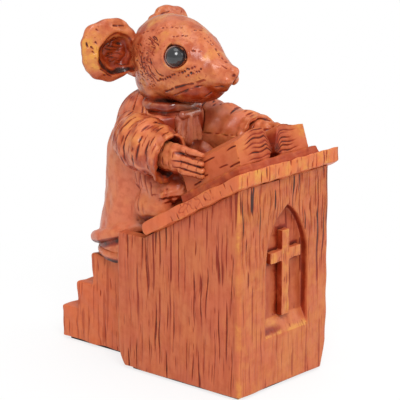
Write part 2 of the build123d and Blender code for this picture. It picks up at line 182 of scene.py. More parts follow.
def node_copy(bm, node):
    """Adds a copy of a CAD node to bm, in millimetres and with its loose triangles merged."""
    start = len(bm.verts)
    bm.from_mesh(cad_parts[node].data)
    bm.verts.ensure_lookup_table()
    verts = bm.verts[start:]
    bmesh.ops.scale(bm, vec=(1 / MM, 1 / MM, 1 / MM), verts=verts)
    bmesh.ops.remove_doubles(bm, verts=verts, dist=WELD)


def ball(bm, centre, radius, stretch=(1, 1, 1), subdivisions=3):
    """Adds a ball, or an egg when it is stretched."""
    made = bmesh.ops.create_icosphere(bm, subdivisions=subdivisions, radius=radius)
    bmesh.ops.scale(bm, vec=stretch, verts=made["verts"])
    bmesh.ops.translate(bm, vec=centre, verts=made["verts"])


def limb(bm, start, end, start_radius, end_radius, steps=8):
    """Adds a row of balls that run together into a tapered limb."""
    for share in np.linspace(0, 1, steps):
        centre = np.array(start) * (1 - share) + np.array(end) * share
        ball(bm, centre, start_radius * (1 - share) + end_radius * share, subdivisions=2)


def fused(bm, name, grid):
    """One closed skin of even squares over everything in bm."""
    mesh = mesh_from(bm, name)
    piece = link(name, mesh)
    skin = piece.modifiers.new("Skin", "REMESH")
    skin.mode = "VOXEL"
    skin.voxel_size = grid
    graph = bpy.context.evaluated_depsgraph_get()
    solid = bpy.data.meshes.new_from_object(piece.evaluated_get(graph))
    bpy.data.objects.remove(piece)
    bpy.data.meshes.remove(mesh)
    if not solid.vertices:
        raise RuntimeError(f"{name} has no skin")
    solid.name = name
    return Clay(solid)


def node_clay(node, name, grid, rounds):
    """Clay in the shape of one CAD node, smoothed the given number of times."""
    bm = bmesh.new()
    node_copy(bm, node)
    clay = fused(bm, name, grid)
    clay.smooth(rounds)
    return clay


class Clay:
    """Points of a dense mesh while it is shaped, with the paint that settles on it."""

    def __init__(self, mesh):
        self.mesh = mesh
        count = len(mesh.vertices)
        points = np.empty(count * 3, dtype=np.float32)
        mesh.vertices.foreach_get("co", points)
        self.points = points.reshape(-1, 3).astype(float)
        pairs = np.empty(len(mesh.edges) * 2, dtype=np.int32)
        mesh.edges.foreach_get("vertices", pairs)
        self.pairs = pairs.reshape(-1, 2)
        self.links = np.bincount(self.pairs.ravel(), minlength=count).astype(float)
        # The wash layer holds the dark wash in the cuts and also the painted shade in recesses and
        # under parts.
        self.wash = np.zeros(count)
        self.worn = np.zeros(count)
        self.lines = np.zeros(count)
        self.refresh()

    def refresh(self):
        """Brings the mesh and the normals up to date with the points."""
        self.mesh.vertices.foreach_set("co", self.points.astype(np.float32).ravel())
        self.mesh.update()
        normals = np.empty(len(self.points) * 3, dtype=np.float32)
        self.mesh.vertices.foreach_get("normal", normals)
        self.normals = normals.reshape(-1, 3).astype(float)

    def spread(self, values):
        """Mean of each point's neighbours."""
        first, second = self.pairs[:, 0], self.pairs[:, 1]
        count = len(self.points)
        total = np.bincount(first, values[second], count)
        total += np.bincount(second, values[first], count)
        return total / np.maximum(self.links, 1)

    def smooth(self, rounds, mask=1.0):
        """Smooths where the mask says, so that added lumps run into one another."""
        for _ in range(rounds):
            for axis in range(3):
                mean = self.spread(self.points[:, axis])
                self.points[:, axis] += 0.5 * mask * (mean - self.points[:, axis])
        self.refresh()

    def raise_by(self, height):
        """Moves each point out along its normal."""
        self.points += self.normals * np.asarray(height)[:, None]
        self.refresh()

    def roughen(self, height, length, seed):
        """Hand-made unevenness that changes over the given length."""
        self.raise_by(height * ripple(self.points, length, seed))

    def patches(self, middle, swing, length, seed, least=0.0, most=1.0):
        """Soft random patches around a middle value."""
        return (middle + swing * ripple(self.points, length, seed)).clip(least, most)

    def cut(self, depth, full_depth, wash_and_shade=1.0):
        """Carves grooves and lets the wash settle in them."""
        self.raise_by(-depth)
        self.wash_and_shade(wash_and_shade * np.clip(depth / full_depth, 0, 1))

    def wash_and_shade(self, amount):
        """Dark wash in the cuts, and painted shade where callers lay it, of at least the given
        amount.
        """
        self.wash = np.maximum(self.wash, amount)

    def rub(self, amount):
        """Dry-brushed ochre of at least the given amount."""
        self.worn = np.maximum(self.worn, amount)

    def settle(self, hollow=0.9, ridge=0.9):
        """Adds wash in the creases and wear on the ridges, from how the skin bends."""
        bend = np.zeros(len(self.points))
        for axis in range(3):
            place = self.points[:, axis]
            bend += (self.spread(place) - place) * self.normals[:, axis]
        first, second = self.pairs[:, 0], self.pairs[:, 1]
        spacing = np.linalg.norm(self.points[first] - self.points[second], axis=1).mean()
        bend /= spacing
        for _ in range(BEND_ROUNDS):
            bend = 0.5 * bend + 0.5 * self.spread(bend)
        self.wash_and_shade(np.clip(hollow * (bend - HOLLOW_BEND) / BEND_RANGE, 0, 1))
        self.rub(np.clip(ridge * (-bend - RIDGE_BEND) / BEND_RANGE, 0, 1))

    def piece(self, name, material, node, slot):
        """Turns the clay into a finished piece that stands for a CAD node."""
        self.points *= MM
        self.refresh()
        for label, values in (("wash", self.wash), ("worn", self.worn), ("lines", self.lines)):
            layer = self.mesh.attributes.new(label, "FLOAT", "POINT")
            layer.data.foreach_set("value", values.astype(np.float32))
        self.mesh.materials.clear()
        self.mesh.materials.append(material)
        made = link(name, self.mesh)
        triangles = len(self.mesh.loops) - 2 * len(self.mesh.polygons)
        if triangles > MOST_TRIANGLES:
            sieve = made.modifiers.new("Sieve", "DECIMATE")
            sieve.ratio = MOST_TRIANGLES / triangles
            graph = bpy.context.evaluated_depsgraph_get()
            made.data = bpy.data.meshes.new_from_object(made.evaluated_get(graph))
            made.modifiers.clear()
            bpy.data.meshes.remove(self.mesh)
            made.data.name = name
        made.data.polygons.foreach_set("use_smooth", np.ones(len(made.data.polygons), dtype=bool))
        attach(made, ROOT)
        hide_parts(node)


def ease(value, low, high):
    """Smooth step from 0 at low to 1 at high."""
    share = np.clip((value - low) / (high - low), 0, 1)
    return share * share * (3 - 2 * share)


def bell(value, width):
    """Smooth hump of height 1 at 0 that falls to about a third at the given width."""
    return np.exp(-((value / width) ** 2))


def ripple(points, length, seed):
    """Smooth random height between about -1 and 1 that changes over the given length."""
    draw = np.random.default_rng(seed)
    height = np.zeros(len(points))
    for _ in range(RIPPLE_WAVES):
        way = draw.normal(size=3)
        way *= 2 * math.pi / (length * np.linalg.norm(way)) * draw.uniform(0.6, 1.6)
        height += np.sin(points @ way + draw.uniform(0, 2 * math.pi))
    return height / math.sqrt(RIPPLE_WAVES)


# One kind of cut: width of its lanes, length, half width, depth and how close cuts follow
# one another
Cuts = namedtuple("Cuts", "lane length width depth fill", defaults=(0.55,))


def gouge_cuts(lane, length, width, depth, *fill):
    """Cuts with shares of the pulpit gouge's width and depth."""
    return Cuts(lane, length, width * carving().gouge_width, depth * carving().gouge_depth, *fill)


def dash_cuts(lane, length, width, depth, *fill):
    """Cuts with shares of the cloth dash's width and depth."""
    return Cuts(lane, length, width * carving().dash_width, depth * carving().dash_depth, *fill)


def gouges(draw, kind, across_range, along_range):
    """Random long cuts in lanes side by side: places, ends, sizes and lean of each."""
    lane, length, width, depth, fill = kind
    cuts = []
    lanes = max(1, round((across_range[1] - across_range[0]) / lane))
    for number in range(lanes):
        middle = across_range[0] + (number + 0.5) * lane
        start = along_range[0] + draw.uniform(-0.6, 0.5) * length
        while start < along_range[1]:
            reach = length * draw.uniform(0.35, 1.5)
            cuts.append((
                middle + draw.normal() * 0.22 * lane, start, start + reach,
                width * draw.uniform(0.7, 1.3), depth * draw.uniform(0.3, 1.15),
                draw.normal() * 0.012 * lane, draw.uniform(0, 2 * math.pi),
            ))
            start += reach + length * draw.uniform(0.2, 1.0) / fill * 0.55
    return cuts


def cut_depth(cuts, across, along):
    """Depth of the deepest of the cuts at each point."""
    depth = np.zeros(len(across))
    for middle, start, end, width, deep, lean, phase in cuts:
        near = (np.abs(across - middle) < 8 * width) & (along > start) & (along < end)
        if not near.any():
            continue
        along_cut = along[near]
        share = (along_cut - start) / (end - start)
        drift = lean * (along_cut - start) + 0.22 * width * np.sin(0.5 * along_cut + phase)
        belly = np.sin(np.pi * share) ** 0.5
        profile = bell(across[near] - middle - drift, width * (0.35 + 0.65 * belly))
        depth[near] = np.maximum(depth[near], deep * belly * profile)
    return depth


def carved(draw, kind, across, along, across_range, along_range):
    """Depth at each point of random cuts of one kind."""
    return cut_depth(gouges(draw, kind, across_range, along_range), across, along)


def path_depth(points, path, width, depth):
    """Depth of a round groove of the given half width along a path through space."""
    path = np.asarray(path, dtype=float)
    nearest = np.full(len(points), np.inf)
    for start, end in zip(path[:-1], path[1:]):
        way = end - start
        share = np.clip((points - start) @ way / max(way @ way, 1e-9), 0, 1)
        gap = np.linalg.norm(points - start - share[:, None] * way, axis=1)
        nearest = np.minimum(nearest, gap)
    return depth * bell(nearest, width)


# Materials


def sockets(group, direction, kind, *names):
    """Adds inputs or outputs of one kind to a node group."""
    for name in names:
        group.interface.new_socket(name, in_out=direction, socket_type=kind)


def add_node(tree, kind, **values):
    """New node with the given settings."""
    node = tree.nodes.new(kind)
    for name, value in values.items():
        setattr(node, name, value)
    return node


def feed(tree, value, target):
    """Links a socket to an input, or sets the input to a constant."""
    if isinstance(value, bpy.types.NodeSocket):
        tree.links.new(value, target)
    else:
        target.default_value = value


def set_inputs(tree, node, values):
    """Feeds the named inputs of a node."""
    for name, value in values.items():
        feed(tree, value, node.inputs[name])


def noise(tree, coordinates, scale, detail=3.0, roughness=0.55):
    """Random clouds between 0 and 1, so many to the metre."""
    node = add_node(tree, "ShaderNodeTexNoise")
    set_inputs(tree, node, {
        "Vector": coordinates, "Scale": scale, "Detail": detail, "Roughness": roughness,
    })
    return node.outputs["Fac"]


def stretch(tree, value, low, high, to_low=0.0, to_high=1.0):
    """Carries a value smoothly from one range to another."""
    node = add_node(tree, "ShaderNodeMapRange", clamp=True, interpolation_type="SMOOTHSTEP")
    ranges = {"From Min": low, "From Max": high, "To Min": to_low, "To Max": to_high}
    set_inputs(tree, node, {"Value": value, **ranges})
    return node.outputs["Result"]


def mix_colour(tree, factor, first, second, blend="MIX"):
    """Blend of two colours."""
    node = add_node(tree, "ShaderNodeMix", data_type="RGBA", blend_type=blend)
    for value, name in ((factor, "Factor"), (first, "A"), (second, "B")):
        feed(tree, value, next(s for s in node.inputs if s.name == name and s.enabled))
    return next(s for s in node.outputs if s.enabled)


def combine(tree, operation, first, second):
    """Result of arithmetic on two values."""
    node = add_node(tree, "ShaderNodeMath", operation=operation)
    feed(tree, first, node.inputs[0])
    feed(tree, second, node.inputs[1])
    return node.outputs[0]


def multiply(tree, first, second):
    """Product of two values."""
    return combine(tree, "MULTIPLY", first, second)


def squeezed(tree, coordinates, upward):
    """Coordinates that run slower upward, so that noise on them draws into upright streaks."""
    node = add_node(tree, "ShaderNodeMapping")
    set_inputs(tree, node, {"Vector": coordinates, "Scale": (1, 1, upward)})
    return node.outputs["Vector"]


def bumped(tree, surface, height, strength):
    """Fine relief on a surface."""
    bump = add_node(tree, "ShaderNodeBump")
    set_inputs(tree, bump, {"Height": height, "Strength": strength, "Distance": BUMP_HEIGHT})
    tree.links.new(bump.outputs["Normal"], surface.inputs["Normal"])


def own_place(tree):
    """The object's own coordinates."""
    return add_node(tree, "ShaderNodeTexCoord").outputs["Object"]


def stored(tree, name):
    """A value that was stored with the mesh."""
    return add_node(tree, "ShaderNodeAttribute", attribute_name=name).outputs["Fac"]


def new_material(name):
    """Empty material, with its node tree and its surface."""
    made = bpy.data.materials.new(name)
    made.use_nodes = True
    return made, made.node_tree, made.node_tree.nodes["Principled BSDF"]


# Tints that paint is multiplied by: a deeper shade in flecks and grain, and a thin wash that also
# carries painted shade
DEEP_TINT = (0.72, 0.44, 0.30, 1)
GLAZE_TINT = (0.50, 0.18, 0.07, 1)
BUMP_HEIGHT = 0.0003
PAINT_SHINE = 0.25


def paint_group():
    """Hand-painted resin: mottled colour, ochre on the ridges, a dark wash in the cuts and painted
    shade.
    """
    name = "hand_painted_resin"
    if name in bpy.data.node_groups:
        return bpy.data.node_groups[name]
    group = bpy.data.node_groups.new(name, "ShaderNodeTree")
    sockets(group, "INPUT", "NodeSocketColor", "Paint", "Ochre", "Wash")
    sockets(group, "INPUT", "NodeSocketFloat", "Mottle", "Grain", "Specks", "Wear", "Varnish")
    sockets(group, "OUTPUT", "NodeSocketColor", "Color")
    sockets(group, "OUTPUT", "NodeSocketFloat", "Roughness", "Height")
    given = add_node(group, "NodeGroupInput").outputs
    place = own_place(group)
    # Wash layer: dark wash in the cuts plus painted shade.
    wash = stored(group, "wash")
    worn = stored(group, "worn")
    lines = stored(group, "lines")

    clouds = stretch(group, noise(group, place, 110.0), 0.35, 0.68)
    flecks = stretch(group, noise(group, place, 520.0, 2.0), 0.42, 0.72)
    streaks = stretch(group, noise(group, squeezed(group, place, 0.09), 900.0), 0.40, 0.70)
    deep = mix_colour(group, 1.0, given["Paint"], DEEP_TINT, "MULTIPLY")
    warm = mix_colour(group, 0.34, given["Paint"], given["Ochre"])
    cloudy = mix_colour(group, multiply(group, clouds, given["Mottle"]), given["Paint"], warm)
    flecked = multiply(group, flecks, multiply(group, given["Mottle"], 0.65))
    mottled = mix_colour(group, flecked, cloudy, deep)
    grained = mix_colour(group, multiply(group, streaks, given["Grain"]), mottled, deep)

    brushed = stretch(group, noise(group, place, 300.0, 4.0, 0.7), 0.40, 0.62, 0.25, 1.0)
    edge = multiply(group, multiply(group, worn, brushed), given["Wear"])
    edged = mix_colour(group, edge, grained, given["Ochre"])

    reeds = noise(group, squeezed(group, place, 0.04), 1150.0, 1.5, 0.45)
    hairs = stretch(group, reeds, 0.33, 0.40, 1.0, 0.0)
    scored = multiply(group, hairs, lines)
    pits = stretch(group, noise(group, place, 1300.0, 2.0), 0.30, 0.40, 1.0, 0.0)
    speckled = multiply(group, pits, given["Specks"])
    sunk = combine(group, "MAXIMUM", scored, speckled)
    uneven = stretch(group, noise(group, place, 420.0), 0.30, 0.60, 0.65, 1.0)
    pooled = combine(group, "MAXIMUM", multiply(group, wash, uneven), sunk)
    thin = stretch(group, pooled, 0.0, 0.5)
    thick = stretch(group, pooled, 0.4, 1.0)
    glazed = mix_colour(group, 1.0, edged, GLAZE_TINT, "MULTIPLY")
    tinted = mix_colour(group, thin, edged, glazed)
    stained = mix_colour(group, thick, tinted, given["Wash"])

    gloss = stretch(group, noise(group, place, 260.0), 0.3, 0.7, 0.85, 1.25)
    grit = noise(group, place, 900.0, 3.0, 0.6)
    set_inputs(group, add_node(group, "NodeGroupOutput"), {
        "Color": stained,
        "Roughness": multiply(group, gloss, given["Varnish"]),
        "Height": combine(group, "SUBTRACT", grit, scored),
    })
    return group


def painted(name, paint, varnish, mottle, wear, grain=0.0, coat=0.2, relief=0.12, specks=0.0):
    """Material of one painted part of the ornament."""
    made, tree, surface = new_material(name)
    group = add_node(tree, "ShaderNodeGroup", node_tree=paint_group())
    set_inputs(tree, group, {
        "Paint": paint, "Ochre": finish().ochre, "Wash": finish().wash, "Mottle": mottle,
        "Grain": grain, "Specks": specks, "Wear": wear, "Varnish": varnish,
    })
    set_inputs(tree, surface, {
        "Base Color": group.outputs["Color"], "Roughness": group.outputs["Roughness"],
        "Specular IOR Level": PAINT_SHINE, "Coat Weight": coat, "Coat Roughness": varnish * 0.6,
    })
    bumped(tree, surface, group.outputs["Height"], relief)
    return made


def eye_gloss(name):
    """Polished bead, black with a greyer heart and a pale ring where the lid meets it."""
    made, tree, surface = new_material(name)
    place = own_place(tree)
    ring = stored(tree, "worn")
    haze = stretch(tree, noise(tree, place, 260.0), 0.40, 0.75, 0.0, 0.35)
    black = mix_colour(tree, haze, finish().eye, (0.070, 0.070, 0.075, 1))
    ringed = mix_colour(tree, ring, black, (0.34, 0.19, 0.16, 1))
    set_inputs(tree, surface, {
        "Base Color": ringed, "Roughness": 0.16, "Coat Weight": 0.6, "Coat Roughness": 0.05,
    })
    return made


def dark_felt(name):
    """Short dark nap of the pad."""
    made, tree, surface = new_material(name)
    place = own_place(tree)
    nap = noise(tree, place, 1800.0, 4.0, 0.7)
    shade = mix_colour(tree, nap, (0.010, 0.008, 0.007, 1), (0.040, 0.030, 0.026, 1))
    set_inputs(tree, surface, {"Base Color": shade, "Roughness": 0.95, "Sheen Weight": 0.3})
    bumped(tree, surface, nap, 0.6)
    return made


def dowel_steel(name):
    """Plain drawn steel of the hidden dowels."""
    made, tree, surface = new_material(name)
    place = own_place(tree)
    drawn = noise(tree, place, 900.0)
    grey = mix_colour(tree, drawn, (0.36, 0.36, 0.37, 1), (0.50, 0.50, 0.51, 1))
    dull = stretch(tree, drawn, 0.3, 0.7, 0.25, 0.45)
    set_inputs(tree, surface, {"Base Color": grey, "Roughness": dull, "Metallic": 1.0})
    return made


def pale_floor(name):
    """White studio sweep that keeps a soft shadow round the ornament's foot."""
    made, tree, surface = new_material(name)
    place = own_place(tree)
    set_inputs(tree, surface, {
        "Base Color": (0.93, 0.93, 0.93, 1), "Roughness": 0.9, "Specular IOR Level": 0.1,
    })
    white = add_node(tree, "ShaderNodeEmission")
    path = add_node(tree, "ShaderNodeLightPath").outputs
    far = add_node(tree, "ShaderNodeVectorMath", operation="LENGTH")
    tree.links.new(place, far.inputs[0])
    seen = combine(tree, "MAXIMUM", path["Is Camera Ray"], path["Is Glossy Ray"])
    through = combine(tree, "MAXIMUM", seen, path["Is Transmission Ray"])
    pale = multiply(tree, through, stretch(tree, far.outputs["Value"], 0.03, 0.12, 0.78, 1.0))
    mixed = add_node(tree, "ShaderNodeMixShader")
    tree.links.new(pale, mixed.inputs["Fac"])
    tree.links.new(surface.outputs[0], mixed.inputs[1])
    tree.links.new(white.outputs[0], mixed.inputs[2])
    tree.links.new(mixed.outputs[0], tree.nodes["Material Output"].inputs["Surface"])
    return made


def material(name):
    """One of the ornament's materials, made when it is first asked for."""
    if name in bpy.data.materials:
        return bpy.data.materials[name]
    plain = {
        "eye_gloss": eye_gloss, "dark_felt": dark_felt,
        "dowel_steel": dowel_steel, "pale_floor": pale_floor,
    }
    if name in plain:
        return plain[name](name)
    look = finish()
    between = (look.satin + look.gloss) / 2
    paints = {
        "pulpit_paint": dict(paint=look.pulpit, varnish=look.satin, mottle=0.5, wear=0.9,
                             grain=0.45, coat=0.1),
        "steps_paint": dict(paint=look.steps, varnish=look.satin, mottle=0.4, wear=0.8,
                            grain=0.2, coat=0.1),
        "robe_paint": dict(paint=look.robe, varnish=between, mottle=0.8, wear=0.7,
                           relief=0.3, specks=0.1),
        "fur_paint": dict(paint=look.fur, varnish=look.gloss, mottle=1.0, wear=0.9,
                          coat=0.3, relief=0.4, specks=0.28),
        "linen_paint": dict(paint=look.linen, varnish=0.6 * look.gloss, mottle=0.8, wear=0.4,
                            coat=0.9, relief=0.4, specks=0.2),
        "book_paint": dict(paint=look.book, varnish=1.2 * look.satin, mottle=0.5, wear=0.9,
                           coat=0.05),
    }
    return painted(name, **paints[name])


# Pulpit, steps and desk


def desk_slope():
    """Slope of the reading desk, read from the largest upward face of its solid."""
    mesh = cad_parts["desk_top"].data
    rise = Vector((0, 0, 0))
    for face in mesh.polygons:
        if face.normal.z > 0.7 and abs(face.normal.x) < 0.02:
            rise += face.normal * face.area
    return math.atan2(rise.y, rise.z)


SLOPE = desk_slope()


def on_slope(points):
    """Distance up the desk's slope and height square to it, for each point."""
    up = -points[:, 1] * math.cos(SLOPE) + points[:, 2] * math.sin(SLOPE)
    square = points[:, 1] * math.sin(SLOPE) + points[:, 2] * math.cos(SLOPE)
    return up, square


# Niche in the pulpit's front: its middle, half width, depth and top above the pulpit's foot
NICHE_MIDDLE = 1.0
NICHE_HALF = 8.4
NICHE_DEPTH = 3.0
NICHE_TOP = 44.5


def pulpit_shape():
    """Pulpit block with long gouges, a pointed niche and a sill at its foot."""
    size = carving()
    clay = node_clay("pulpit_box", "pulpit_carved", size.coarse, 3)
    clay.roughen(0.10, 9.0, 21)
    x, y, z = clay.points.T
    turn = clay.normals
    front, rear = PULPIT_LOW[1], PULPIT_HIGH[1]
    foot, top = PULPIT_LOW[2], PULPIT_HIGH[2]
    half = PULPIT_HIGH[0]
    draw = rng(1)

    sides = ease(np.abs(turn[:, 0]), 0.6, 0.85) * (np.abs(x) > half - 3.0)
    depth = np.zeros(len(x))
    long_cuts = gouge_cuts(2.0, 11.5, 0.8, 1.0, 0.5)
    faint_cuts = gouge_cuts(1.5, 5.0, 0.7, 0.38, 0.6)
    for side in (-1, 1):
        one_side = sides * (x * side > 0)
        cuts = carved(draw, long_cuts, y, z, (front + 1.2, rear - 1.8), (foot + 2.5, top))
        depth = np.maximum(depth, cuts * one_side)
        cuts = carved(draw, faint_cuts, y, z, (front + 1.0, rear - 0.6), (foot + 1.0, top))
        depth = np.maximum(depth, cuts * one_side)

    plain = ease(-turn[:, 1], 0.6, 0.85) * (y < front + 0.7)
    high_up = 0.35 + 0.65 * ease(z, foot + 0.3 * (top - foot), foot + 0.8 * (top - foot))
    fine_cuts = gouge_cuts(1.2, 9.0, 0.62, 0.72, 0.8)
    hair_cuts = gouge_cuts(0.8, 5.0, 0.55, 0.42, 0.8)
    for kind, margin, start in ((fine_cuts, 0.8, 1.0), (hair_cuts, 0.6, 0.5)):
        cuts = carved(draw, kind, x, z, (-half + margin, half - margin), (foot + start, top))
        depth = np.maximum(depth, cuts * plain * high_up)

    back = ease(turn[:, 1], 0.6, 0.85) * (y > rear - 0.7)
    rear_cuts = gouge_cuts(2.1, 10.0, 1.0, 0.8)
    cuts = carved(draw, rear_cuts, x, z, (-half + 1, half - 1), (foot + 1, top))
    depth = np.maximum(depth, cuts * back)

    clay.cut(depth, 0.68 * size.gouge_depth)
    clay.settle(hollow=0.6, ridge=1.0)
    side_lines = 0.5 * ease(z, foot + 6, foot + 22) * ease(-y, -rear + 1.0, -rear + 4.0)
    clay.lines = sides * side_lines + 0.9 * plain * high_up + 0.4 * back
    patches = clay.patches(0.5, 0.6, 8.0, 22)
    clay.wash_and_shade((0.10 + 0.12 * patches) * plain * high_up)
    off_middle = np.abs(x - NICHE_MIDDLE)
    inside = (y > front + 0.35) & (y < front + NICHE_DEPTH) & (off_middle < NICHE_HALF)
    inside &= (z > foot + 10.0) & (z < foot + NICHE_TOP)
    recess = inside * ease(y, front + 0.3, front + 1.2)
    sill = turn[:, 2] > 0.35
    # Painted shade inside the niche: strongest on its side walls, lighter on its back wall and
    # sill.
    clay.wash_and_shade(recess * np.where(sill, 0.08, np.where(turn[:, 1] < -0.6, 0.2, 0.62)))
    ledge = ease(turn[:, 2], 0.25, 0.4) * (z > foot + 10.5) * (z < foot + 17.5)
    ledge = ledge * (off_middle < NICHE_HALF - 0.2) * (y < front + NICHE_DEPTH - 0.4)
    corner_shade = ease(-x, -2.0, 4.0) * ease(z, foot + 12.3, foot + 13.2)
    # Painted shade on the sill, darkest towards its left end.
    clay.wash_and_shade(0.62 * ledge * corner_shade * (1 - ease(z, foot + 13.4, foot + 15.2)))
    cross_low, cross_high = node_box("niche_cross")
    stem = off_middle - 1.3
    half_arm = (cross_high[0] - cross_low[0]) / 2
    arms = np.maximum(off_middle - half_arm, np.abs(z - cross_high[2] + 6.1) - 1.4)
    gap = np.minimum(np.maximum(stem, z - cross_high[2]), arms)
    above_sill = turn[:, 2] < 0.15
    # Painted shade on the niche's back wall round the cross's outline.
    clay.wash_and_shade(recess * 0.75 * (1 - ease(gap, 0.3, 1.1)) * (turn[:, 1] < -0.5) * above_sill)
    upright = (turn[:, 1] < -0.6) & above_sill
    clay.lines = np.maximum(clay.lines, 0.6 * recess * upright)
    corner = ease(-x, half - 1.6, half - 0.5) * ease(-y, -front - 1.6, -front - 0.4)
    clay.rub(np.maximum(0.9 * corner, 0.45 * plain * high_up) * patches)
    clay.rub(0.3 * plain)
    clay.rub(ledge * np.maximum(1 - 0.85 * ease(z, foot + 12.4, foot + 13.8), 0.8 * corner_shade))
    clay.piece("pulpit_carved", material("pulpit_paint"), "pulpit_box", "pulpit_resin")


def cross_shape():
    """Cross in the niche, with a brushed face and darker sides."""
    clay = node_clay("niche_cross", "cross_carved", 0.16, 5)
    clay.roughen(0.07, 3.0, 31)
    x, _, z = clay.points.T
    draw = rng(2)
    low, high = node_box("niche_cross")
    face = ease(-clay.normals[:, 1], 0.6, 0.9)
    cuts = carved(draw, Cuts(0.9, 3.5, 0.13, 0.16), x, z, (low[0], high[0]), (low[2], high[2]))
    clay.cut(cuts * face, 0.2, 0.7)
    clay.settle()
    # Painted shade on the cross's sides and underside.
    side = ease(np.abs(clay.normals[:, 0]) + np.clip(-clay.normals[:, 2], 0, 1), 0.5, 0.9)
    clay.wash_and_shade(0.5 * side)
    clay.rub(0.75 * face * clay.patches(0.7, 0.5, 5.0, 32))
    clay.piece("cross_carved", material("pulpit_paint"), "niche_cross", "pulpit_resin")


def steps_shape():
    """Steps behind the pulpit, with short cuts on their sides and risers."""
    size = carving()
    clay = node_clay("stair_block", "steps_carved", size.coarse, 12)
    clay.roughen(0.13, 6.0, 41)
    _, y, z = clay.points.T
    draw = rng(3)
    sides = ease(np.abs(clay.normals[:, 0]), 0.6, 0.85)
    risers = ease(clay.normals[:, 1], 0.6, 0.85)
    depth = np.zeros(len(z))
    for axis, lane, faces in ((1, 2.4, sides), (0, 2.8, risers)):
        cuts = carved(draw, gouge_cuts(lane, 5.0, 0.8, 0.6), clay.points[:, axis], z,
                      (STAIR_LOW[axis], STAIR_HIGH[axis]), (STAIR_LOW[2], STAIR_HIGH[2]))
        depth = np.maximum(depth, cuts * faces)
    clay.cut(depth, 0.6 * size.gouge_depth, 0.7)
    clay.settle(ridge=0.4)
    clay.lines = 0.25 * sides + 0.3 * risers
    # Painted shade on the steps where they meet the pulpit's wall.
    shade_by_wall = ease(-y, -STAIR_LOW[1] - 1.6, -STAIR_LOW[1] - 0.2)
    clay.wash_and_shade(0.4 * shade_by_wall)
    clay.piece("steps_carved", material("steps_paint"), "stair_block", "pulpit_resin")


# Knots in the desk's sides: share of the way up the slope, half width and half height
KNOTS = ((0.44, 1.2, 0.8), (0.54, 1.6, 0.9), (0.67, 0.9, 0.8))


def desk_shape():
    """Sloping board with slits in its front edge and worn knots along its sides."""
    size = carving()
    clay = node_clay("desk_top", "desk_carved", size.coarse, 6)
    clay.roughen(0.12, 5.0, 51)
    x, y, z = clay.points.T
    up, square = on_slope(clay.points)
    draw = rng(4)
    turn = clay.normals
    edge = ease(-turn[:, 1], 0.55, 0.8) * (y < DESK_LOW[1] + 2.0)
    slits = gouge_cuts(1.6, 2.6, 0.8, 0.7)
    depth = edge * carved(draw, slits, x, z, (DESK_LOW[0] + 0.8, DESK_HIGH[0] - 0.8),
                          (DESK_HIGH[2] - 4.2, DESK_HIGH[2]))
    sides = ease(np.abs(turn[:, 0]), 0.6, 0.85) * (np.abs(x) > DESK_HIGH[0] - 1.2)
    ticks = gouge_cuts(2.2, 1.6, 0.8, 0.7, 0.4)
    cuts = carved(draw, ticks, up, square, (up.min() + 9, up.max() - 1),
                  (square.min(), square.max()))
    depth = np.maximum(depth, cuts * sides)
    middle = (square[sides > 0.5].min() + square[sides > 0.5].max()) / 2
    warp = 0.4 * ripple(clay.points, 2.2, 53)
    for share, wide, tall in KNOTS:
        at = up.min() + share * (up.max() - up.min())
        off = np.hypot((up - at) / wide, (square - middle - 0.3) / tall) + warp
        ring = 0.11 * bell(off - 1, 0.22) + 0.05 * bell(off, 0.5)
        depth = np.maximum(depth, ring * sides)
    top = ease(turn[:, 2], 0.6, 0.8)
    grain = gouge_cuts(1.9, 9.0, 0.8, 0.55)
    cuts = carved(draw, grain, x, up, (DESK_LOW[0], DESK_HIGH[0]), (up.min(), up.max()))
    depth = np.maximum(depth, cuts * top)
    clay.cut(depth, 0.62 * size.gouge_depth, 0.85)
    clay.settle(ridge=1.1)
    clay.lines = 0.45 * edge
    patches = clay.patches(0.75, 0.5, 6.0, 52, least=0.3)
    near_end = 0.6 + 0.4 * ease(-x, -2.0, 14.0)
    clay.rub(1.5 * edge * patches * near_end)
    clay.piece("desk_carved", material("steps_paint"), "desk_top", "pulpit_resin")


# Book


def cover_shape():
    """Book cover with one scored line round its edge."""
    clay = node_clay("book_cover", "cover_painted", carving().fine, 4)
    clay.roughen(0.10, 4.0, 61)
    _, square = on_slope(clay.points)
    share = (square - square.min()) / (square.max() - square.min())
    line = bell(share - 0.55, 0.08) * ease(ripple(clay.points, 5.0, 62), -0.5, 0.3)
    sides = 1 - ease(np.abs(clay.normals @ (0, math.sin(SLOPE), math.cos(SLOPE))), 0.3, 0.6)
    clay.cut(0.08 * line * sides, 0.2)
    clay.settle()
    clay.wash_and_shade(0.3 + 0.25 * sides * ease(-share, -0.35, -0.1))
    clay.piece("cover_painted", material("book_paint"), "book_cover", "book_resin")


LEAVES = 7

# Lines on the fore edge of the pages: share of the height and depth
FORE_EDGE_LINES = ((0.16, 0.3), (0.3, 0.18), (0.8, 0.25))


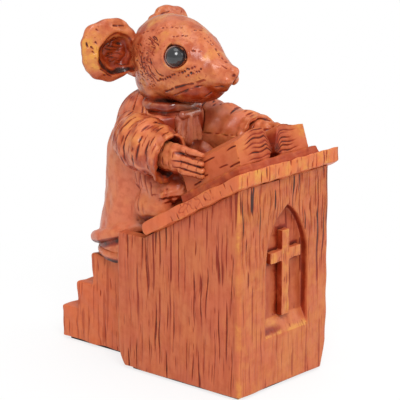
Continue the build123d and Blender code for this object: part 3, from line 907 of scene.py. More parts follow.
def pages_shape(name, side):
    """One half of the open book, with the edges of its leaves cut in on three sides."""
    node = f"{name}_pages"
    clay = node_clay(node, f"pages_{name}", 0.16, 4)
    draw = rng(8 + side)
    cover_low, cover_high = node_box("book_cover")
    gutter = (cover_low[0] + cover_high[0]) / 2
    up, square = on_slope(clay.points)
    foot = square.min()
    spine = np.abs(clay.points[:, 0] - gutter)
    reach = spine / spine.max()
    steps = np.arange(spine.min(), spine.max(), 0.4)
    crown = np.array([square[np.abs(spine - step) < 0.4].max() for step in steps])
    crown = np.convolve(np.pad(crown, 3, mode="edge"), np.ones(7) / 7, mode="valid")
    share = (square - foot) / np.maximum(np.interp(spine, steps, crown) - foot, 0.8)
    if side < 0:
        height = 3.0 + 5.5 * ease(reach, 0.0, 0.20) - 2.0 * ease(reach, 0.4, 1.0)
    else:
        height = 2.6 + 5.2 * ease(reach, 0.0, 0.30) - 1.4 * ease(reach, 0.4, 1.0)
        height -= 0.5 * bell(reach - 0.65, 0.18)
    lift = share * height - (square - foot)
    clay.points[:, 1] += lift * math.sin(SLOPE)
    clay.points[:, 2] += lift * math.cos(SLOPE)
    clay.refresh()
    turn_up = -clay.normals[:, 1] * math.cos(SLOPE) + clay.normals[:, 2] * math.sin(SLOPE)
    ends = ease(np.abs(turn_up), 0.5, 0.75)
    edge = ease(np.abs(clay.normals[:, 0]), 0.55, 0.8) * (spine > spine.max() - 1.6)
    sway = 0.025 * ripple(clay.points, 6.0, 71)
    depth = np.zeros(len(up))
    for number in range(LEAVES):
        level = (number + 0.9) / (LEAVES + 0.4) + draw.normal() * 0.02
        stop = draw.uniform(0.65, 0.98)
        line = bell((share + sway - level) * height, draw.uniform(0.13, 0.22))
        line = line * ends * (1 - ease(reach, stop - 0.35, stop))
        depth = np.maximum(depth, draw.uniform(0.15, 0.38) * line)
    for level, strength in FORE_EDGE_LINES:
        broken = ease(ripple(clay.points, 4.0, 72 + int(100 * level)), -0.1, 0.5)
        line = bell((share + 0.5 * sway - level) * height, 0.17)
        depth = np.maximum(depth, strength * line * edge * broken)
    clay.cut(depth, 0.22)
    clay.settle(ridge=1.0)
    # Painted shade in the gutter, on the ends next to the spine.
    clay.wash_and_shade(0.95 * ends * (1 - ease(reach, 0.02, 0.14)))
    clay.wash_and_shade(0.26 * ends * (1 - 0.6 * ease(reach, 0.5, 0.8)))
    # Painted shade in the gutter, deeper on the far half.
    clay.wash_and_shade((0.35 if side < 0 else 0.75) * (1 - ease(reach, 0.08, 0.3)))
    amount = 1.0 if side > 0 else 0.4
    clay.rub(0.9 * ends * ease(reach, 0.55, 0.85) * ease(share, 0.3, 0.7) * amount)
    clay.points[:, 1] -= 0.20 * share * height
    clay.refresh()
    clay.piece(f"pages_{name}", material("book_paint"), node, "book_resin")


# Clothes


# Hem of the robe: height over the cassock, slope, place of its lobes and mean radius
HEM_RISE = 4.6
HEM_TILT = math.radians(20)
HEM_LOBE = math.radians(130)
HEM_ROUND = 12

# Folds in the lap on the left side: both ends and their radii
LAP_FOLDS = (
    ((8.6, 3.0, 47.5), (9.0, -2.6, 44.6), 4.6, 4.0),
    ((9.4, 2.6, 40.0), (10.0, -1.6, 40.4), 4.2, 3.4),
    ((9.0, -2.6, 44.6), (9.6, -7.6, 45.4), 3.8, 2.2),
    ((7.0, 1.5, 52.0), (8.4, -2.0, 48.0), 3.6, 3.6),
)
LAP_LUMPS = (((12.6, -4.2, 44.3), 0.95), ((12.0, -6.0, 44.8), 0.7))

# Upright slits in the lap: place along the part, upper and lower end
LAP_SLITS = (
    (4.6, 48.0, 42.5), (2.9, 49.4, 45.2), (1.2, 48.6, 44.0), (-0.4, 46.8, 43.6), (3.6, 42.6, 39.4),
)


def robe_shape():
    """Robe with a rolled hem, soft folds and a rumpled lap behind the book."""
    size = carving()
    bm = bmesh.new()
    node_copy(bm, "robe")
    half_width = ROBE_HIGH[0]
    half_depth = ROBE_HIGH[1] - HEM_CENTRE[1] - 1.0
    for turn in np.radians(np.arange(0, 360, 4)):
        lobe = 0.35 * max(math.cos(2 * (turn - HEM_LOBE)), math.cos(2 * (turn + HEM_LOBE)))
        back = -(half_depth - 1.55 + lobe) * math.cos(turn)
        centre = (
            (half_width - 1.55 + lobe) * math.sin(turn),
            HEM_CENTRE[1] + 1.0 + back,
            HEM_CENTRE[2] + HEM_RISE - back * math.tan(HEM_TILT),
        )
        ball(bm, centre, 1.72, subdivisions=2)
    for side in (-1, 1):
        mirror = np.array([side, 1, 1])
        for start, end, start_radius, end_radius in LAP_FOLDS:
            limb(bm, start * mirror, end * mirror, start_radius, end_radius)
        for place, radius in LAP_LUMPS:
            ball(bm, place * mirror, radius)
    clay = fused(bm, "robe_draped", size.fine)
    clay.smooth(7)
    x, y, z = clay.points.T
    low_front = ease(z, 34.0, 36.5) * (1 - ease(z, 49.0, 52.0)) * (1 - ease(y, 4.0, 8.0))
    low_front = low_front * ease(np.abs(x), 4.0, 6.0)
    pebbles = ease(np.abs(x), 11.0, 11.6) * ease(-y, 3.0, 3.8)
    clay.smooth(60, low_front * (1 - 0.9 * pebbles))
    x, y, z = clay.points.T
    height = (z - HEM_CENTRE[2]) / (NECK[2] - HEM_CENTRE[2])
    around = np.arctan2(x, -(y - HEM_CENTRE[1]))
    upright = 1 - np.abs(clay.normals[:, 2])
    folds = 0.22 * np.sin(7 * around + 2.2 * height) + 0.12 * np.sin(12 * around - 3.0 * height + 1)
    clay.raise_by(folds * upright * ease(-height, -0.9, -0.2) * ease(height, 0.25, 0.4))
    clay.roughen(0.09, 5.0, 81)
    crook = ease(z, 40.5, 42.5) * (1 - ease(z, 46.0, 48.5)) * (1 - ease(y, -3.0, 2.0))
    clay.raise_by(0.17 * crook * ripple(clay.points, 1.9, 85))
    draw = rng(5)
    half_round = math.pi * HEM_ROUND
    skirt_cuts = dash_cuts(4.6, 6.0, 0.8, 0.55)
    cuts = carved(draw, skirt_cuts, around * HEM_ROUND, z, (-half_round, half_round),
                  (HEM_CENTRE[2] + 8, HEM_CENTRE[2] + 26))
    depth = cuts * upright * ease(height, 0.25, 0.4)
    shoulder_cuts = dash_cuts(1.6, 2.8, 0.8, 1.0, 0.8)
    from_neck = np.linalg.norm(clay.points - NECK, axis=1)
    high_up = ease(z, NECK[2] - 8.0, NECK[2] - 5.0) * ease(y, NECK[1] - 3.0, NECK[1] + 1.0)
    cuts = carved(draw, shoulder_cuts, around * 10, from_neck, (-30, 30), (0, 16))
    depth = np.maximum(depth, cuts * high_up)
    for along, high, low in LAP_SLITS:
        flat = np.column_stack((y + 0.15 * np.sin(z), z))
        path = ((along, high), (along - 0.4, low))
        depth = np.maximum(depth, path_depth(flat, path, 0.2, 0.24) * (np.abs(x) > 7.0) * upright)
    desk_cuts = Cuts(0.9, 1.5, 0.15, 0.26, 0.5)
    near_desk = upright * (1 - ease(y, 4.5, 8.0))
    cuts = carved(draw, desk_cuts, z, -np.abs(around) * HEM_ROUND, (33.4, 37.4), (-24, -9))
    depth = np.maximum(depth, cuts * near_desk)
    clay.cut(depth, 0.75 * size.dash_depth, 0.9)
    clay.settle()
    # Painted shade on the downward faces.
    shaded_underside = ease(-clay.normals[:, 2], 0.3, 0.7)
    clay.wash_and_shade(0.85 * shaded_underside)
    # Painted shadow in a band under the rolled hem.
    ring = HEM_CENTRE[2] + HEM_RISE - (y - HEM_CENTRE[1] - 1.0) * math.tan(HEM_TILT)
    hem_shadow = ease(ring - z, 0.9, 1.7) * (1 - ease(ring - z, 2.4, 3.6))
    clay.wash_and_shade(0.9 * hem_shadow)
    clay.wash_and_shade(0.10 * crook)
    chest = ease(z, 51.0, 54.0) * (1 - ease(y, -1.0, 3.0))
    clay.wash_and_shade(chest * clay.patches(0.36, 0.2, 4.0, 83, most=0.7))
    # Painted shade on the robe's front beneath the sleeves, by the desk.
    shade_beneath_sleeves = ease(z, 45.0, 48.0) * (1 - ease(z, 51.0, 54.0)) * (1 - ease(y, -1.0, 4.0))
    clay.wash_and_shade(0.45 * shade_beneath_sleeves)
    clay.wash_and_shade(high_up * clay.patches(0.15, 0.25, 4.0, 84, most=0.45))
    clay.piece("robe_draped", material("robe_paint"), "robe", "robe_resin")


def cassock_shape():
    """Inner gown that shows as a second roll under the robe's hem."""
    bm = bmesh.new()
    node_copy(bm, "cassock")
    half_width = CASSOCK_HIGH[0]
    half_depth = CASSOCK_HIGH[1] - HEM_CENTRE[1]
    for turn in np.radians(np.arange(60, 301, 4)):
        round_back = 0.5 - 0.5 * math.cos(turn)
        centre = (
            (half_width - 0.6) * math.sin(turn),
            HEM_CENTRE[1] - (half_depth - 0.6) * math.cos(turn),
            CASSOCK_LOW[2] + 2.0 - 0.7 * round_back,
        )
        ball(bm, centre, 1.2, subdivisions=2)
    clay = fused(bm, "cassock_hem", carving().fine)
    clay.smooth(6)
    clay.roughen(0.10, 4.0, 91)
    clay.settle()
    level = (clay.points[:, 2] - CASSOCK_LOW[2]) / (CASSOCK_HIGH[2] - CASSOCK_LOW[2])
    # Painted shade on the lower part of the roll, where it turns under above the step.
    clay.wash_and_shade(0.9 * (1 - ease(level, 0.2, 0.6)))
    clay.piece("cassock_hem", material("robe_paint"), "cassock", "robe_resin")


def collar_shape():
    """Rounded band turned on a wheel, then dented a little by hand."""
    bm = bmesh.new()
    outer = COLLAR_HIGH[0] + 0.7
    tall = COLLAR_HIGH[2] - COLLAR_LOW[2]
    made = bmesh.ops.create_circle(bm, segments=28, radius=1.0)
    verts = made["verts"]
    bmesh.ops.scale(bm, vec=(0.5 * tall, 0.62 * tall, 1), verts=verts)
    bmesh.ops.rotate(bm, cent=(0, 0, 0), matrix=Matrix.Rotation(math.pi / 2, 3, "X"), verts=verts)
    bmesh.ops.translate(bm, vec=(outer - 0.5 * tall, 0, 0), verts=verts)
    bmesh.ops.spin(bm, geom=bm.verts[:] + bm.edges[:], cent=(0, 0, 0), axis=(0, 0, 1),
                   angle=2 * math.pi, steps=160, use_merge=True)
    bmesh.ops.remove_doubles(bm, verts=bm.verts, dist=WELD)
    bmesh.ops.recalc_face_normals(bm, faces=bm.faces)
    bmesh.ops.translate(bm, vec=(0, NECK[1] + 0.6, COLLAR_LOW[2] + 0.4 * tall), verts=bm.verts)
    clay = Clay(mesh_from(bm, "collar_roll"))
    clay.roughen(0.25, 5.0, 101)
    level = (clay.points[:, 2] - COLLAR_LOW[2]) / tall
    fold = 0.30 + 0.06 * ripple(clay.points, 9.0, 102)
    clay.cut(0.24 * bell(level - fold, 0.07), 0.22, 0.9)
    clay.settle()
    blotches = clay.patches(0.16, 0.35, 4.0, 103, most=0.6)
    # Painted shadow on the collar's top under the jaw; the blotches are random darker paint.
    clay.wash_and_shade(np.maximum(0.95 * ease(level, 0.76, 0.98), blotches))
    clay.piece("collar_roll", material("linen_paint"), "collar", "collar_resin")


BIB_MIDDLE = -1.8

# Pleats of the bib: place at the foot, half width, how far back and how much shorter
PLEATS = (
    (-6.1, 0.70, 0.70, 0.6), (-4.7, 0.85, 0.25, 0.1), (-2.6, 1.25, 0.05, 0.0),
    (-0.4, 0.95, 0.45, 0.4), (1.2, 0.85, 0.20, 0.2), (2.5, 0.65, 0.70, 0.7),
)


def bands_shape():
    """Pleated bib that hangs from a knot under the collar."""
    low, high = node_box("bands")
    bm = bmesh.new()
    front = low[1]
    top = high[2]
    foot = low[2]
    for across, wide, back, short in PLEATS:
        neat = BIB_MIDDLE + 0.62 * (across - BIB_MIDDLE)
        deep = front + 0.45 + back
        start, end = (neat, deep + 0.2, top - 1.0), (across, deep, foot + 0.9 + short)
        limb(bm, start, end, 0.8 * wide, wide, 12)
    limb(bm, (-4.2, front + 1.0, top - 0.4), (1.0, front + 1.0, top - 0.4), 1.1, 1.1, 9)
    for across in (-4.4, -1.6, 1.0):
        limb(bm, (across, front + 1.9, top - 1.5), (across, front + 1.9, foot + 1.4), 1.2, 1.2, 9)
    clay = fused(bm, "bib_pleated", 0.13)
    clay.smooth(4)
    clay.roughen(0.05, 3.0, 111)
    clay.settle(hollow=2.6, ridge=0.4)
    clay.wash_and_shade(clay.patches(0.08, 0.2, 4.0, 112, most=0.3))
    # Painted shade on the bib's sides, where it lies against the chest.
    outer = ease(np.abs(clay.points[:, 0] - BIB_MIDDLE), 2.6, 4.6)
    clay.wash_and_shade(outer * clay.patches(0.35, 0.5, 2.2, 113, most=0.8))
    clay.piece("bib_pleated", material("linen_paint"), "bands", "collar_resin")


def sleeve_shape(name, side):
    """Wide sleeve from the shoulder to the cuff, with dashes across it."""
    node = f"{name}_sleeve"
    low, _ = node_box(node)
    paw_low, paw_high = node_box(f"{name}_paw")
    cuff = np.array([(paw_low[0] + paw_high[0]) / 2, low[1] + 1.2, (paw_low[2] + paw_high[2]) / 2])
    root = np.array([side * 9.0, NECK[1] + 7.1, NECK[2] - 5.0])
    bm = bmesh.new()
    node_copy(bm, node)
    ball(bm, root + (-side * 2.2, -1.6, 0.2), 5.6)
    ball(bm, root + (-side * 4.2, -2.6, 1.6), 5.2)
    clay = fused(bm, f"sleeve_{name}", 0.2)
    clay.smooth(8)
    axis = cuff - root
    length = np.linalg.norm(axis)
    axis /= length
    along = (clay.points - root) @ axis
    spoke = clay.points - root - along[:, None] * axis
    upward = np.array([0, 0, 1.0]) - axis[2] * axis
    upward /= np.linalg.norm(upward)
    outward = np.cross(axis, upward) * -side
    around = np.arctan2(spoke @ upward, spoke @ outward)
    radius = np.linalg.norm(spoke, axis=1)
    radial = np.einsum("ij,ij->i", clay.normals, spoke / np.maximum(radius, 0.1)[:, None])
    outside = ease(radial, 0.2, 0.6)
    clay.raise_by(0.24 * np.sin(along * 1.25 + 1.6 * around) * outside * ease(along, 1.0, 5.0))
    clay.roughen(0.08, 3.0, 121)
    clay.raise_by(0.2 * ripple(clay.points, 2.6, 125) * ease(along, length - 3.0, length - 1.0))
    draw = rng(6)
    arc = around * 6.0
    fine_cuts = dash_cuts(1.5, 2.7, 0.62, 1.0, 1.0)
    bold_cuts = dash_cuts(3.1, 3.4, 0.9, 1.1, 0.7)
    depth = carved(draw, fine_cuts, along, arc, (-4.0, length - 0.8), (-9.5, 10.5))
    cuts = carved(draw, bold_cuts, along, arc, (-3.0, length - 1.5), (-8.0, 9.0))
    depth = np.maximum(depth, cuts)
    clay.cut(depth * outside, carving().dash_depth * 0.6)
    clay.settle()
    # Painted shade inside the cuff.
    inside = 1 - ease(radial, -0.5, 0.1)
    clay.wash_and_shade(0.85 * inside * ease(along, length - 6.5, length - 4.5))
    # Painted shade on the downward faces, deeper toward the cuff.
    shaded_underside = ease(-clay.normals[:, 2], 0.35, 0.85)
    clay.wash_and_shade((0.45 + 0.25 * ease(along, length - 9.0, length - 3.0)) * shaded_underside)
    upper = ease(arc, -1.0, 4.0) * clay.patches(0.55, 0.7, 6.0, 122)
    clay.rub((0.6 if side < 0 else 0.25) * upper * outside)
    blotches = clay.patches(0.5, 0.8, 5.0, 123)
    clay.wash_and_shade((0.36 if side < 0 else 0.18) * outside * blotches)
    # Painted shade on the inner side where the sleeve meets the chest.
    shade_by_chest = ease(around, 1.3, 2.1) * ease(along, 0.0, 3.0) * outside
    if side < 0:
        clay.wash_and_shade(shade_by_chest * clay.patches(0.45, 0.2, 3.0, 124, most=0.55))
    else:
        clay.wash_and_shade(0.16 * shade_by_chest)
    rim = ease(along, length - 1.6, length - 0.6) * (1 - ease(arc, 2.0, 6.0))
    clay.wash_and_shade(0.4 * rim)
    slant = 0.38 * ease(along, length - 9.0, length - 1.0) * (spoke @ outward)
    clay.points += axis * slant[:, None]
    clay.refresh()
    clay.piece(f"sleeve_{name}", material("robe_paint"), node, "robe_resin")


# Fingers of a paw, top one first: height over the paw's middle at the knuckle and the tip
FINGERS = ((3.0, 2.0), (0.9, -0.1), (-0.75, -1.75), (-2.3, -3.1))


def paw_shape(name, side):
    """Broad hand with four fingers laid over the fore edge of the pages."""
    node = f"{name}_paw"
    low, high = node_box(node)
    middle = (low + high) / 2
    middle[0] = low[0] + 2.6 if side < 0 else high[0] - 2.6
    wrist = high[1] - 1.0
    knuckle = wrist - 7.2
    tip = low[1] + 0.9
    bm = bmesh.new()
    ball(bm, (middle[0], wrist - 2.8, middle[2] + 0.2), 1.0, (2.9, 4.2, 3.6))
    ball(bm, (middle[0], wrist - 5.4, middle[2] + 0.1), 1.0, (2.4, 3.0, 3.6))
    for start_rise, end_rise in FINGERS:
        start = (middle[0], knuckle + 1.6, middle[2] + start_rise * 0.85)
        bend = (middle[0] + side * 0.5, knuckle - 1.2, middle[2] + start_rise - 0.2)
        end = (middle[0] - side * 0.3, tip, middle[2] + end_rise)
        limb(bm, start, bend, 1.05, 0.95, 7)
        limb(bm, bend, end, 0.95, 0.75, 9)
    clay = fused(bm, f"paw_{name}", 0.14)
    clay.smooth(5)
    x, y, z = clay.points.T
    share = np.clip((knuckle - y) / (knuckle - tip), 0, 1)
    gaps = np.zeros(len(x))
    for number in range(len(FINGERS) - 1):
        start = (FINGERS[number][0] + FINGERS[number + 1][0]) / 2
        end = (FINGERS[number][1] + FINGERS[number + 1][1]) / 2
        line = middle[2] + start + (end - start) * share
        wide = 0.34 if number == 0 else 0.17
        gaps = np.maximum(gaps, bell(z - line, wide) * ease(knuckle + 1.6 - y, 0.0, 1.5))
    clay.cut(0.12 * gaps, 0.12)
    clay.roughen(0.06, 2.0, 131)
    draw = rng(15)
    cuts = carved(draw, Cuts(1.5, 1.7, 0.15, 0.2, 0.6), y, z, (tip, wrist), (low[2], high[2]))
    clay.cut(cuts, 0.2, 0.8)
    clay.settle(hollow=1.2)
    # Painted shade where the wrist goes into the cuff and on the paw's underside; darker patches
    # run onto the back of the hand.
    clay.wash_and_shade(0.75 * ease(y, wrist - 2.6, wrist - 0.8))
    clay.wash_and_shade(0.4 * ease(y, wrist - 5.5, wrist - 2.0) * clay.patches(0.7, 0.5, 2.5, 133))
    clay.wash_and_shade(0.5 * ease(-clay.normals[:, 2], 0.3, 0.8))
    clay.wash_and_shade(0.10 + 0.1 * ripple(clay.points, 3.0, 132))
    clay.piece(f"paw_{name}", material("robe_paint"), node, "mouse_resin")


# Head


def along_path(places, pitch):
    """Points every so often along a line through the given places."""
    places = np.asarray(places, dtype=float)
    steps = np.linalg.norm(np.diff(places, axis=0), axis=1)
    reach = np.concatenate(([0.0], np.cumsum(steps)))
    count = max(2, round(reach[-1] / pitch) + 1)
    at = np.linspace(0, reach[-1], count)
    return np.column_stack([np.interp(at, reach, places[:, axis]) for axis in range(3)])


# Marks on the right side of the head, from the skull's foot; the left side mirrors them
DASH_ROWS = (
    ((-5.6, -1.8, 19.0), (-4.7, -3.8, 19.2), (-3.4, -5.8, 19.3)),
    ((-5.9, -5.5, 17.5), (-4.9, -6.8, 17.7), (-3.9, -8.1, 17.7)),
    ((-1.3, -8.3, 18.7), (-0.3, -9.0, 18.4)),
    ((-0.8, -11.0, 17.0), (-0.4, -12.4, 15.9)),
    ((-0.1, -13.6, 14.9), (-0.1, -16.9, 12.7)),
    ((-4.9, -10.9, 14.5), (-3.9, -12.1, 14.5)),
    ((-6.9, 3.0, 17.4), (-6.4, 0.6, 18.2)),
)
DOT_ROWS = (
    ((-8.3, -2.5, 6.7), (-8.0, -6.4, 8.2), (-7.1, -9.4, 9.7), (-5.7, -11.9, 11.1)),
    ((-6.7, -10.2, 8.8), (-5.8, -11.9, 9.6), (-4.8, -13.5, 10.6)),
)
FUR_STROKES = (
    ((-6.9, -4.1, 4.4), (-6.8, -6.6, 5.4)),
    ((-6.7, -7.4, 5.7), (-5.6, -11.4, 7.1)),
    ((-5.2, -12.4, 7.5), (-4.4, -14.1, 8.2)),
    ((-6.1, -6.5, 4.1), (-5.4, -10.3, 5.5)),
    ((-5.2, -11.0, 5.9), (-4.3, -13.4, 6.9)),
    ((-4.4, -8.4, 2.9), (-3.2, -11.8, 4.1)),
    ((-2.9, -12.6, 4.5), (-2.3, -14.5, 5.3)),
    ((-5.6, -4.4, 2.6), (-4.6, -7.6, 2.9)),
    ((-1.6, -16.9, 12.2), (-1.5, -18.2, 11.7)),
)

# Strokes on an ear's face, from its middle: outward and upward at both ends
EAR_STROKES = (
    ((4.0, 5.4), (2.9, 4.4)), ((6.6, 2.3), (6.3, 1.3)), ((5.5, 1.3), (4.5, 0.3)),
    ((5.2, 0.2), (4.7, -0.3)), ((4.4, 2.4), (3.9, 1.7)), ((3.3, -4.2), (1.5, -5.4)),
    ((1.5, -5.6), (0.2, -6.4)), ((2.4, -5.7), (1.9, -6.0)), ((-0.5, 5.9), (-1.6, 5.8)),
    ((-2.0, 5.8), (-3.3, 5.6)), ((0.8, -5.2), (-0.6, -5.6)),
)

# Creases across an ear's cup: height, inner and outer end
CUP_CREASES = (
    (1.9, -3.0, 0.4), (1.2, -3.8, 1.4), (0.5, -3.4, 0.9), (-0.1, -4.0, 1.6),
    (-0.8, -3.6, 1.0), (-1.5, -4.0, 1.4), (-2.3, -3.0, 0.6),
)

# Eyes: heart of the head that they look out from, shifts from the CAD beads and half width of a lid
EYE_HEART = np.array([0, -1.4, 11.2])
NEAR_EYE_SHIFT = np.array([-0.25, 0, -0.7])
FAR_EYE_SHIFT = np.array([-0.7, 0, -0.7])
LID_WIDE = 3.1

# Middle that the wrinkles behind the eyes run round: place along the part and height
WRINKLES_ALONG = -6.8
WRINKLES_RISE = 12.9


def eye_place(node):
    """Middle of an eye, which sits a touch lower in the finished face."""
    low, high = node_box(node)
    return (low + high) / 2 + (NEAR_EYE_SHIFT if low[0] < 0 else FAR_EYE_SHIFT)


def eye_way(eye):
    """Direction that an eye looks in."""
    way = eye - SKULL - EYE_HEART
    return way / np.linalg.norm(way)


def head_clay():
    """Head of the solid with brows, muzzle, cheeks and a neck grown onto it."""
    bm = bmesh.new()
    node_copy(bm, "head")
    for side, node in ((-1, "right_eye"), (1, "left_eye")):
        ball(bm, eye_place(node), 2.35 if side < 0 else 2.15)
        brow = (2.6, 2.8, 1.9) if side < 0 else (2.2, 2.6, 1.4)
        ball(bm, SKULL + (-4.6 if side < 0 else 3.9, -7.6, 15.2), 1.0, brow)
        ball(bm, SKULL + (side * 1.1, -17.4, 8.8), 1.0, (1.7, 2.1, 1.7))
    ball(bm, SKULL + (0, -5.8, 5.4), 1.0, (7.6, 9.4, 4.6))
    ball(bm, SKULL + (0, -15.0, 7.0), 1.0, (2.0, 2.7, 2.0))
    ball(bm, SKULL + (0, -19.2, 10.4), 1.0, (1.6, 1.3, 1.3))
    limb(bm, SKULL + (0, 2.4, 7.5), SKULL + (0, 1.6, 2.0), 8.0, 6.1, 6)
    clay = fused(bm, "mouse_head", 0.16)
    clay.smooth(14)
    rise = clay.points[:, 2] - SKULL[2]
    clay.smooth(40, (1 - ease(rise, 6.5, 9.5)) * (1 - ease(-clay.points[:, 1], 9.0, 12.0)))
    return clay


def carve_fur(clay):
    """Dots, dashes, fur strokes, wrinkles, mouth and nostrils on both sides of the head."""
    skin = clay.points
    draw = rng(7)
    depth = np.zeros(len(skin))
    smear = np.zeros(len(skin))

    def touch(place, side):
        """Nearest point of the skin to a place given on the right side of the head."""
        aim = SKULL + np.asarray(place) * (-side, 1, 1)
        return skin[np.argmin(((skin - aim) ** 2).sum(axis=1))]

    def score(places, side, width, deep):
        """Cuts a line through places given on the right side of the head."""
        path = [touch(place, side) for place in places]
        np.maximum(depth, path_depth(skin, path, width, deep), out=depth)

    for side in (-1, 1):
        for spots in DOT_ROWS:
            for place in along_path(spots, 0.68):
                spot = touch(place + draw.normal(size=3) * 0.14, side)
                hole = bell(np.linalg.norm(skin - spot, axis=1), draw.uniform(0.20, 0.30))
                depth = np.maximum(depth, draw.uniform(0.18, 0.36) * hole)
        for spots in DASH_ROWS:
            for place in along_path(spots, 1.15):
                way = np.asarray(spots[-1]) - np.asarray(spots[0])
                step = draw.uniform(0.05, 0.25) * way / np.linalg.norm(way)
                place = place + draw.normal(size=3) * 0.1
                score((place - step, place + step), side, 0.16, draw.uniform(0.12, 0.28))
        for spots in FUR_STROKES:
            shift = draw.normal(size=3) * 0.1
            score(along_path(spots, 0.7) + shift, side, 0.15, draw.uniform(0.14, 0.30))
        for back in np.arange(-1.2, 5.0, 0.75):
            for rise in np.arange(4.6, 15.4, 0.8):
                start = np.array((-9.0, back, rise)) + draw.normal(size=3) * 0.3
                end = start + (0, draw.uniform(-0.9, 0.1), draw.uniform(-0.6, 0.4))
                if draw.uniform() < 0.65:
                    score((start, end), side, 0.14, draw.uniform(0.08, 0.28))
        for _ in range(26):
            start = draw.uniform(-1.2, 0.1)
            turns = np.linspace(start, start + draw.uniform(0.15, 0.5), 6)
            away = draw.uniform(4.8, 8.8) + 0.12 * np.sin(9 * turns + draw.uniform(0, 6))
            along = away * np.cos(turns) + WRINKLES_ALONG
            high = away * np.sin(turns) + WRINKLES_RISE
            path = np.column_stack((np.full(6, -9.0), along, high))
            score(path, side, 0.13, draw.uniform(0.06, 0.26))
        for _ in range(14):
            turn = draw.uniform(0.1, 0.75)
            inner = draw.uniform(4.6, 7.4)
            away = np.linspace(inner, inner + draw.uniform(0.7, 2.4), 5)
            along = away * math.cos(turn) + WRINKLES_ALONG
            sway = 0.1 * np.sin(3 * away + draw.uniform(0, 6))
            high = WRINKLES_RISE + away * math.sin(turn) + sway
            path = np.column_stack((np.full(5, -8.8), along, high))
            score(path, side, 0.13, draw.uniform(0.06, 0.26))
        mouth = [SKULL + (0, -18.8, 7.5)]
        mouth += [touch(place, side) for place in ((-1.6, -17.0, 7.3), (-2.4, -15.6, 7.0))]
        nostril = SKULL + (side * 0.9, -20.0, 10.2)
        depth = np.maximum(depth, path_depth(skin, mouth, 0.22, 0.3))
        depth = np.maximum(depth, path_depth(skin, (nostril, nostril + (0, 0.6, 0.1)), 0.36, 0.4))
        for spots in FUR_STROKES[:5]:
            path = [touch(place, side) for place in along_path(spots, 0.9)]
            smear = np.maximum(smear, path_depth(skin, path, 0.38, 1.0))
    lip = (SKULL + (0, -20.3, 9.4), SKULL + (0, -18.8, 7.8))
    depth = np.maximum(depth, path_depth(skin, lip, 0.26, 0.35))
    clay.cut(depth, 0.22)
    clay.wash_and_shade(smear * clay.patches(0.6, 0.4, 2.0, 145))


def sink_eyes(clay):
    """Socket, lid and a crease at the corner of each eye."""
    for side, node in ((-1, "right_eye"), (1, "left_eye")):
        eye = eye_place(node)
        offset = clay.points - eye
        out = offset @ eye_way(eye)
        wide = np.sqrt(np.maximum((offset ** 2).sum(axis=1) - out ** 2, 0))
        facing = ease(out, -1.5, 0.0)
        lid = (0.28 if side < 0 else 0.15) * bell(wide - LID_WIDE, 0.4)
        lid -= 0.8 * ease(-wide, -2.7, -2.3)
        clay.raise_by(facing * lid)
        clay.wash_and_shade(bell(wide - 2.66, 0.13) * facing)
        corner = [eye + (side * 0.9, 2.3, -0.6), eye + (side * 1.3, 3.4, -1.0)]
        clay.cut(path_depth(clay.points, corner, 0.4, 0.35), 0.3)


def head_shape():
    """Head with carved fur, darker paint under the jaw and behind the eyes, and painted shadow at
    the neck.
    """
    clay = head_clay()
    carve_fur(clay)
    sink_eyes(clay)
    clay.roughen(0.06, 3.0, 141)
    clay.settle()
    across, along, rise = (clay.points - SKULL).T
    # Darker paint below the jaw line; the last term paints the shadow under the jaw, above the
    # collar.
    jaw = 4.6 + 0.36 * (-along - 4.0).clip(-6, 10) - rise
    shade = 0.32 * ease(jaw, -0.8, 0.6) + 0.20 * ease(jaw, 0.4, 2.6)
    shade += 0.35 * ease(-rise, -3.0, -1.4)
    clay.wash_and_shade(shade * (0.95 + 0.15 * ripple(clay.points, 4.0, 143)))
    clay.wash_and_shade(0.36 * ease(along, 0.8, 3.4) * clay.patches(0.7, 0.5, 3.0, 147))
    behind = bell(along + 1.0, 2.6) * bell(rise - 12.0, 4.0) * ease(np.abs(across), 5.0, 7.0)
    clay.wash_and_shade(0.34 * behind * clay.patches(0.7, 0.6, 2.5, 146, most=1.2))
    below_eye = bell(along + 7.5, 4.0) * bell(rise - 8.6, 1.6) * ease(np.abs(across), 4.0, 6.0)
    clay.wash_and_shade(0.3 * below_eye)
    clay.points[:, 2] -= 0.9 * ease(-along, 9.5, 20.0)
    clay.refresh()
    clay.wash_and_shade(0.24 * ease(ripple(clay.points, 6.0, 144), 0.2, 1.0))
    clay.rub(0.7 * ease(ripple(clay.points, 8.0, 142), 0.2, 1.0))
    clay.piece("mouse_head", material("fur_paint"), "head", "mouse_resin")


def eye_shape(name):
    """Bead with a shallow groove where the lid meets it."""
    node = f"{name}_eye"
    low, high = node_box(node)
    centre = eye_place(node)
    radius = 0.95 * (high[0] - low[0]) / 2
    bm = bmesh.new()
    bmesh.ops.create_icosphere(bm, subdivisions=6, radius=radius)
    bmesh.ops.translate(bm, vec=centre, verts=bm.verts)
    clay = Clay(mesh_from(bm, f"eye_{name}"))
    facing = (clay.points - centre) @ eye_way(centre) / radius
    clay.raise_by(-0.10 * bell(facing - 0.42, 0.06))
    clay.worn = ease(-facing, -0.42, -0.34)
    clay.piece(f"eye_{name}", material("eye_gloss"), node, "eye_bead")


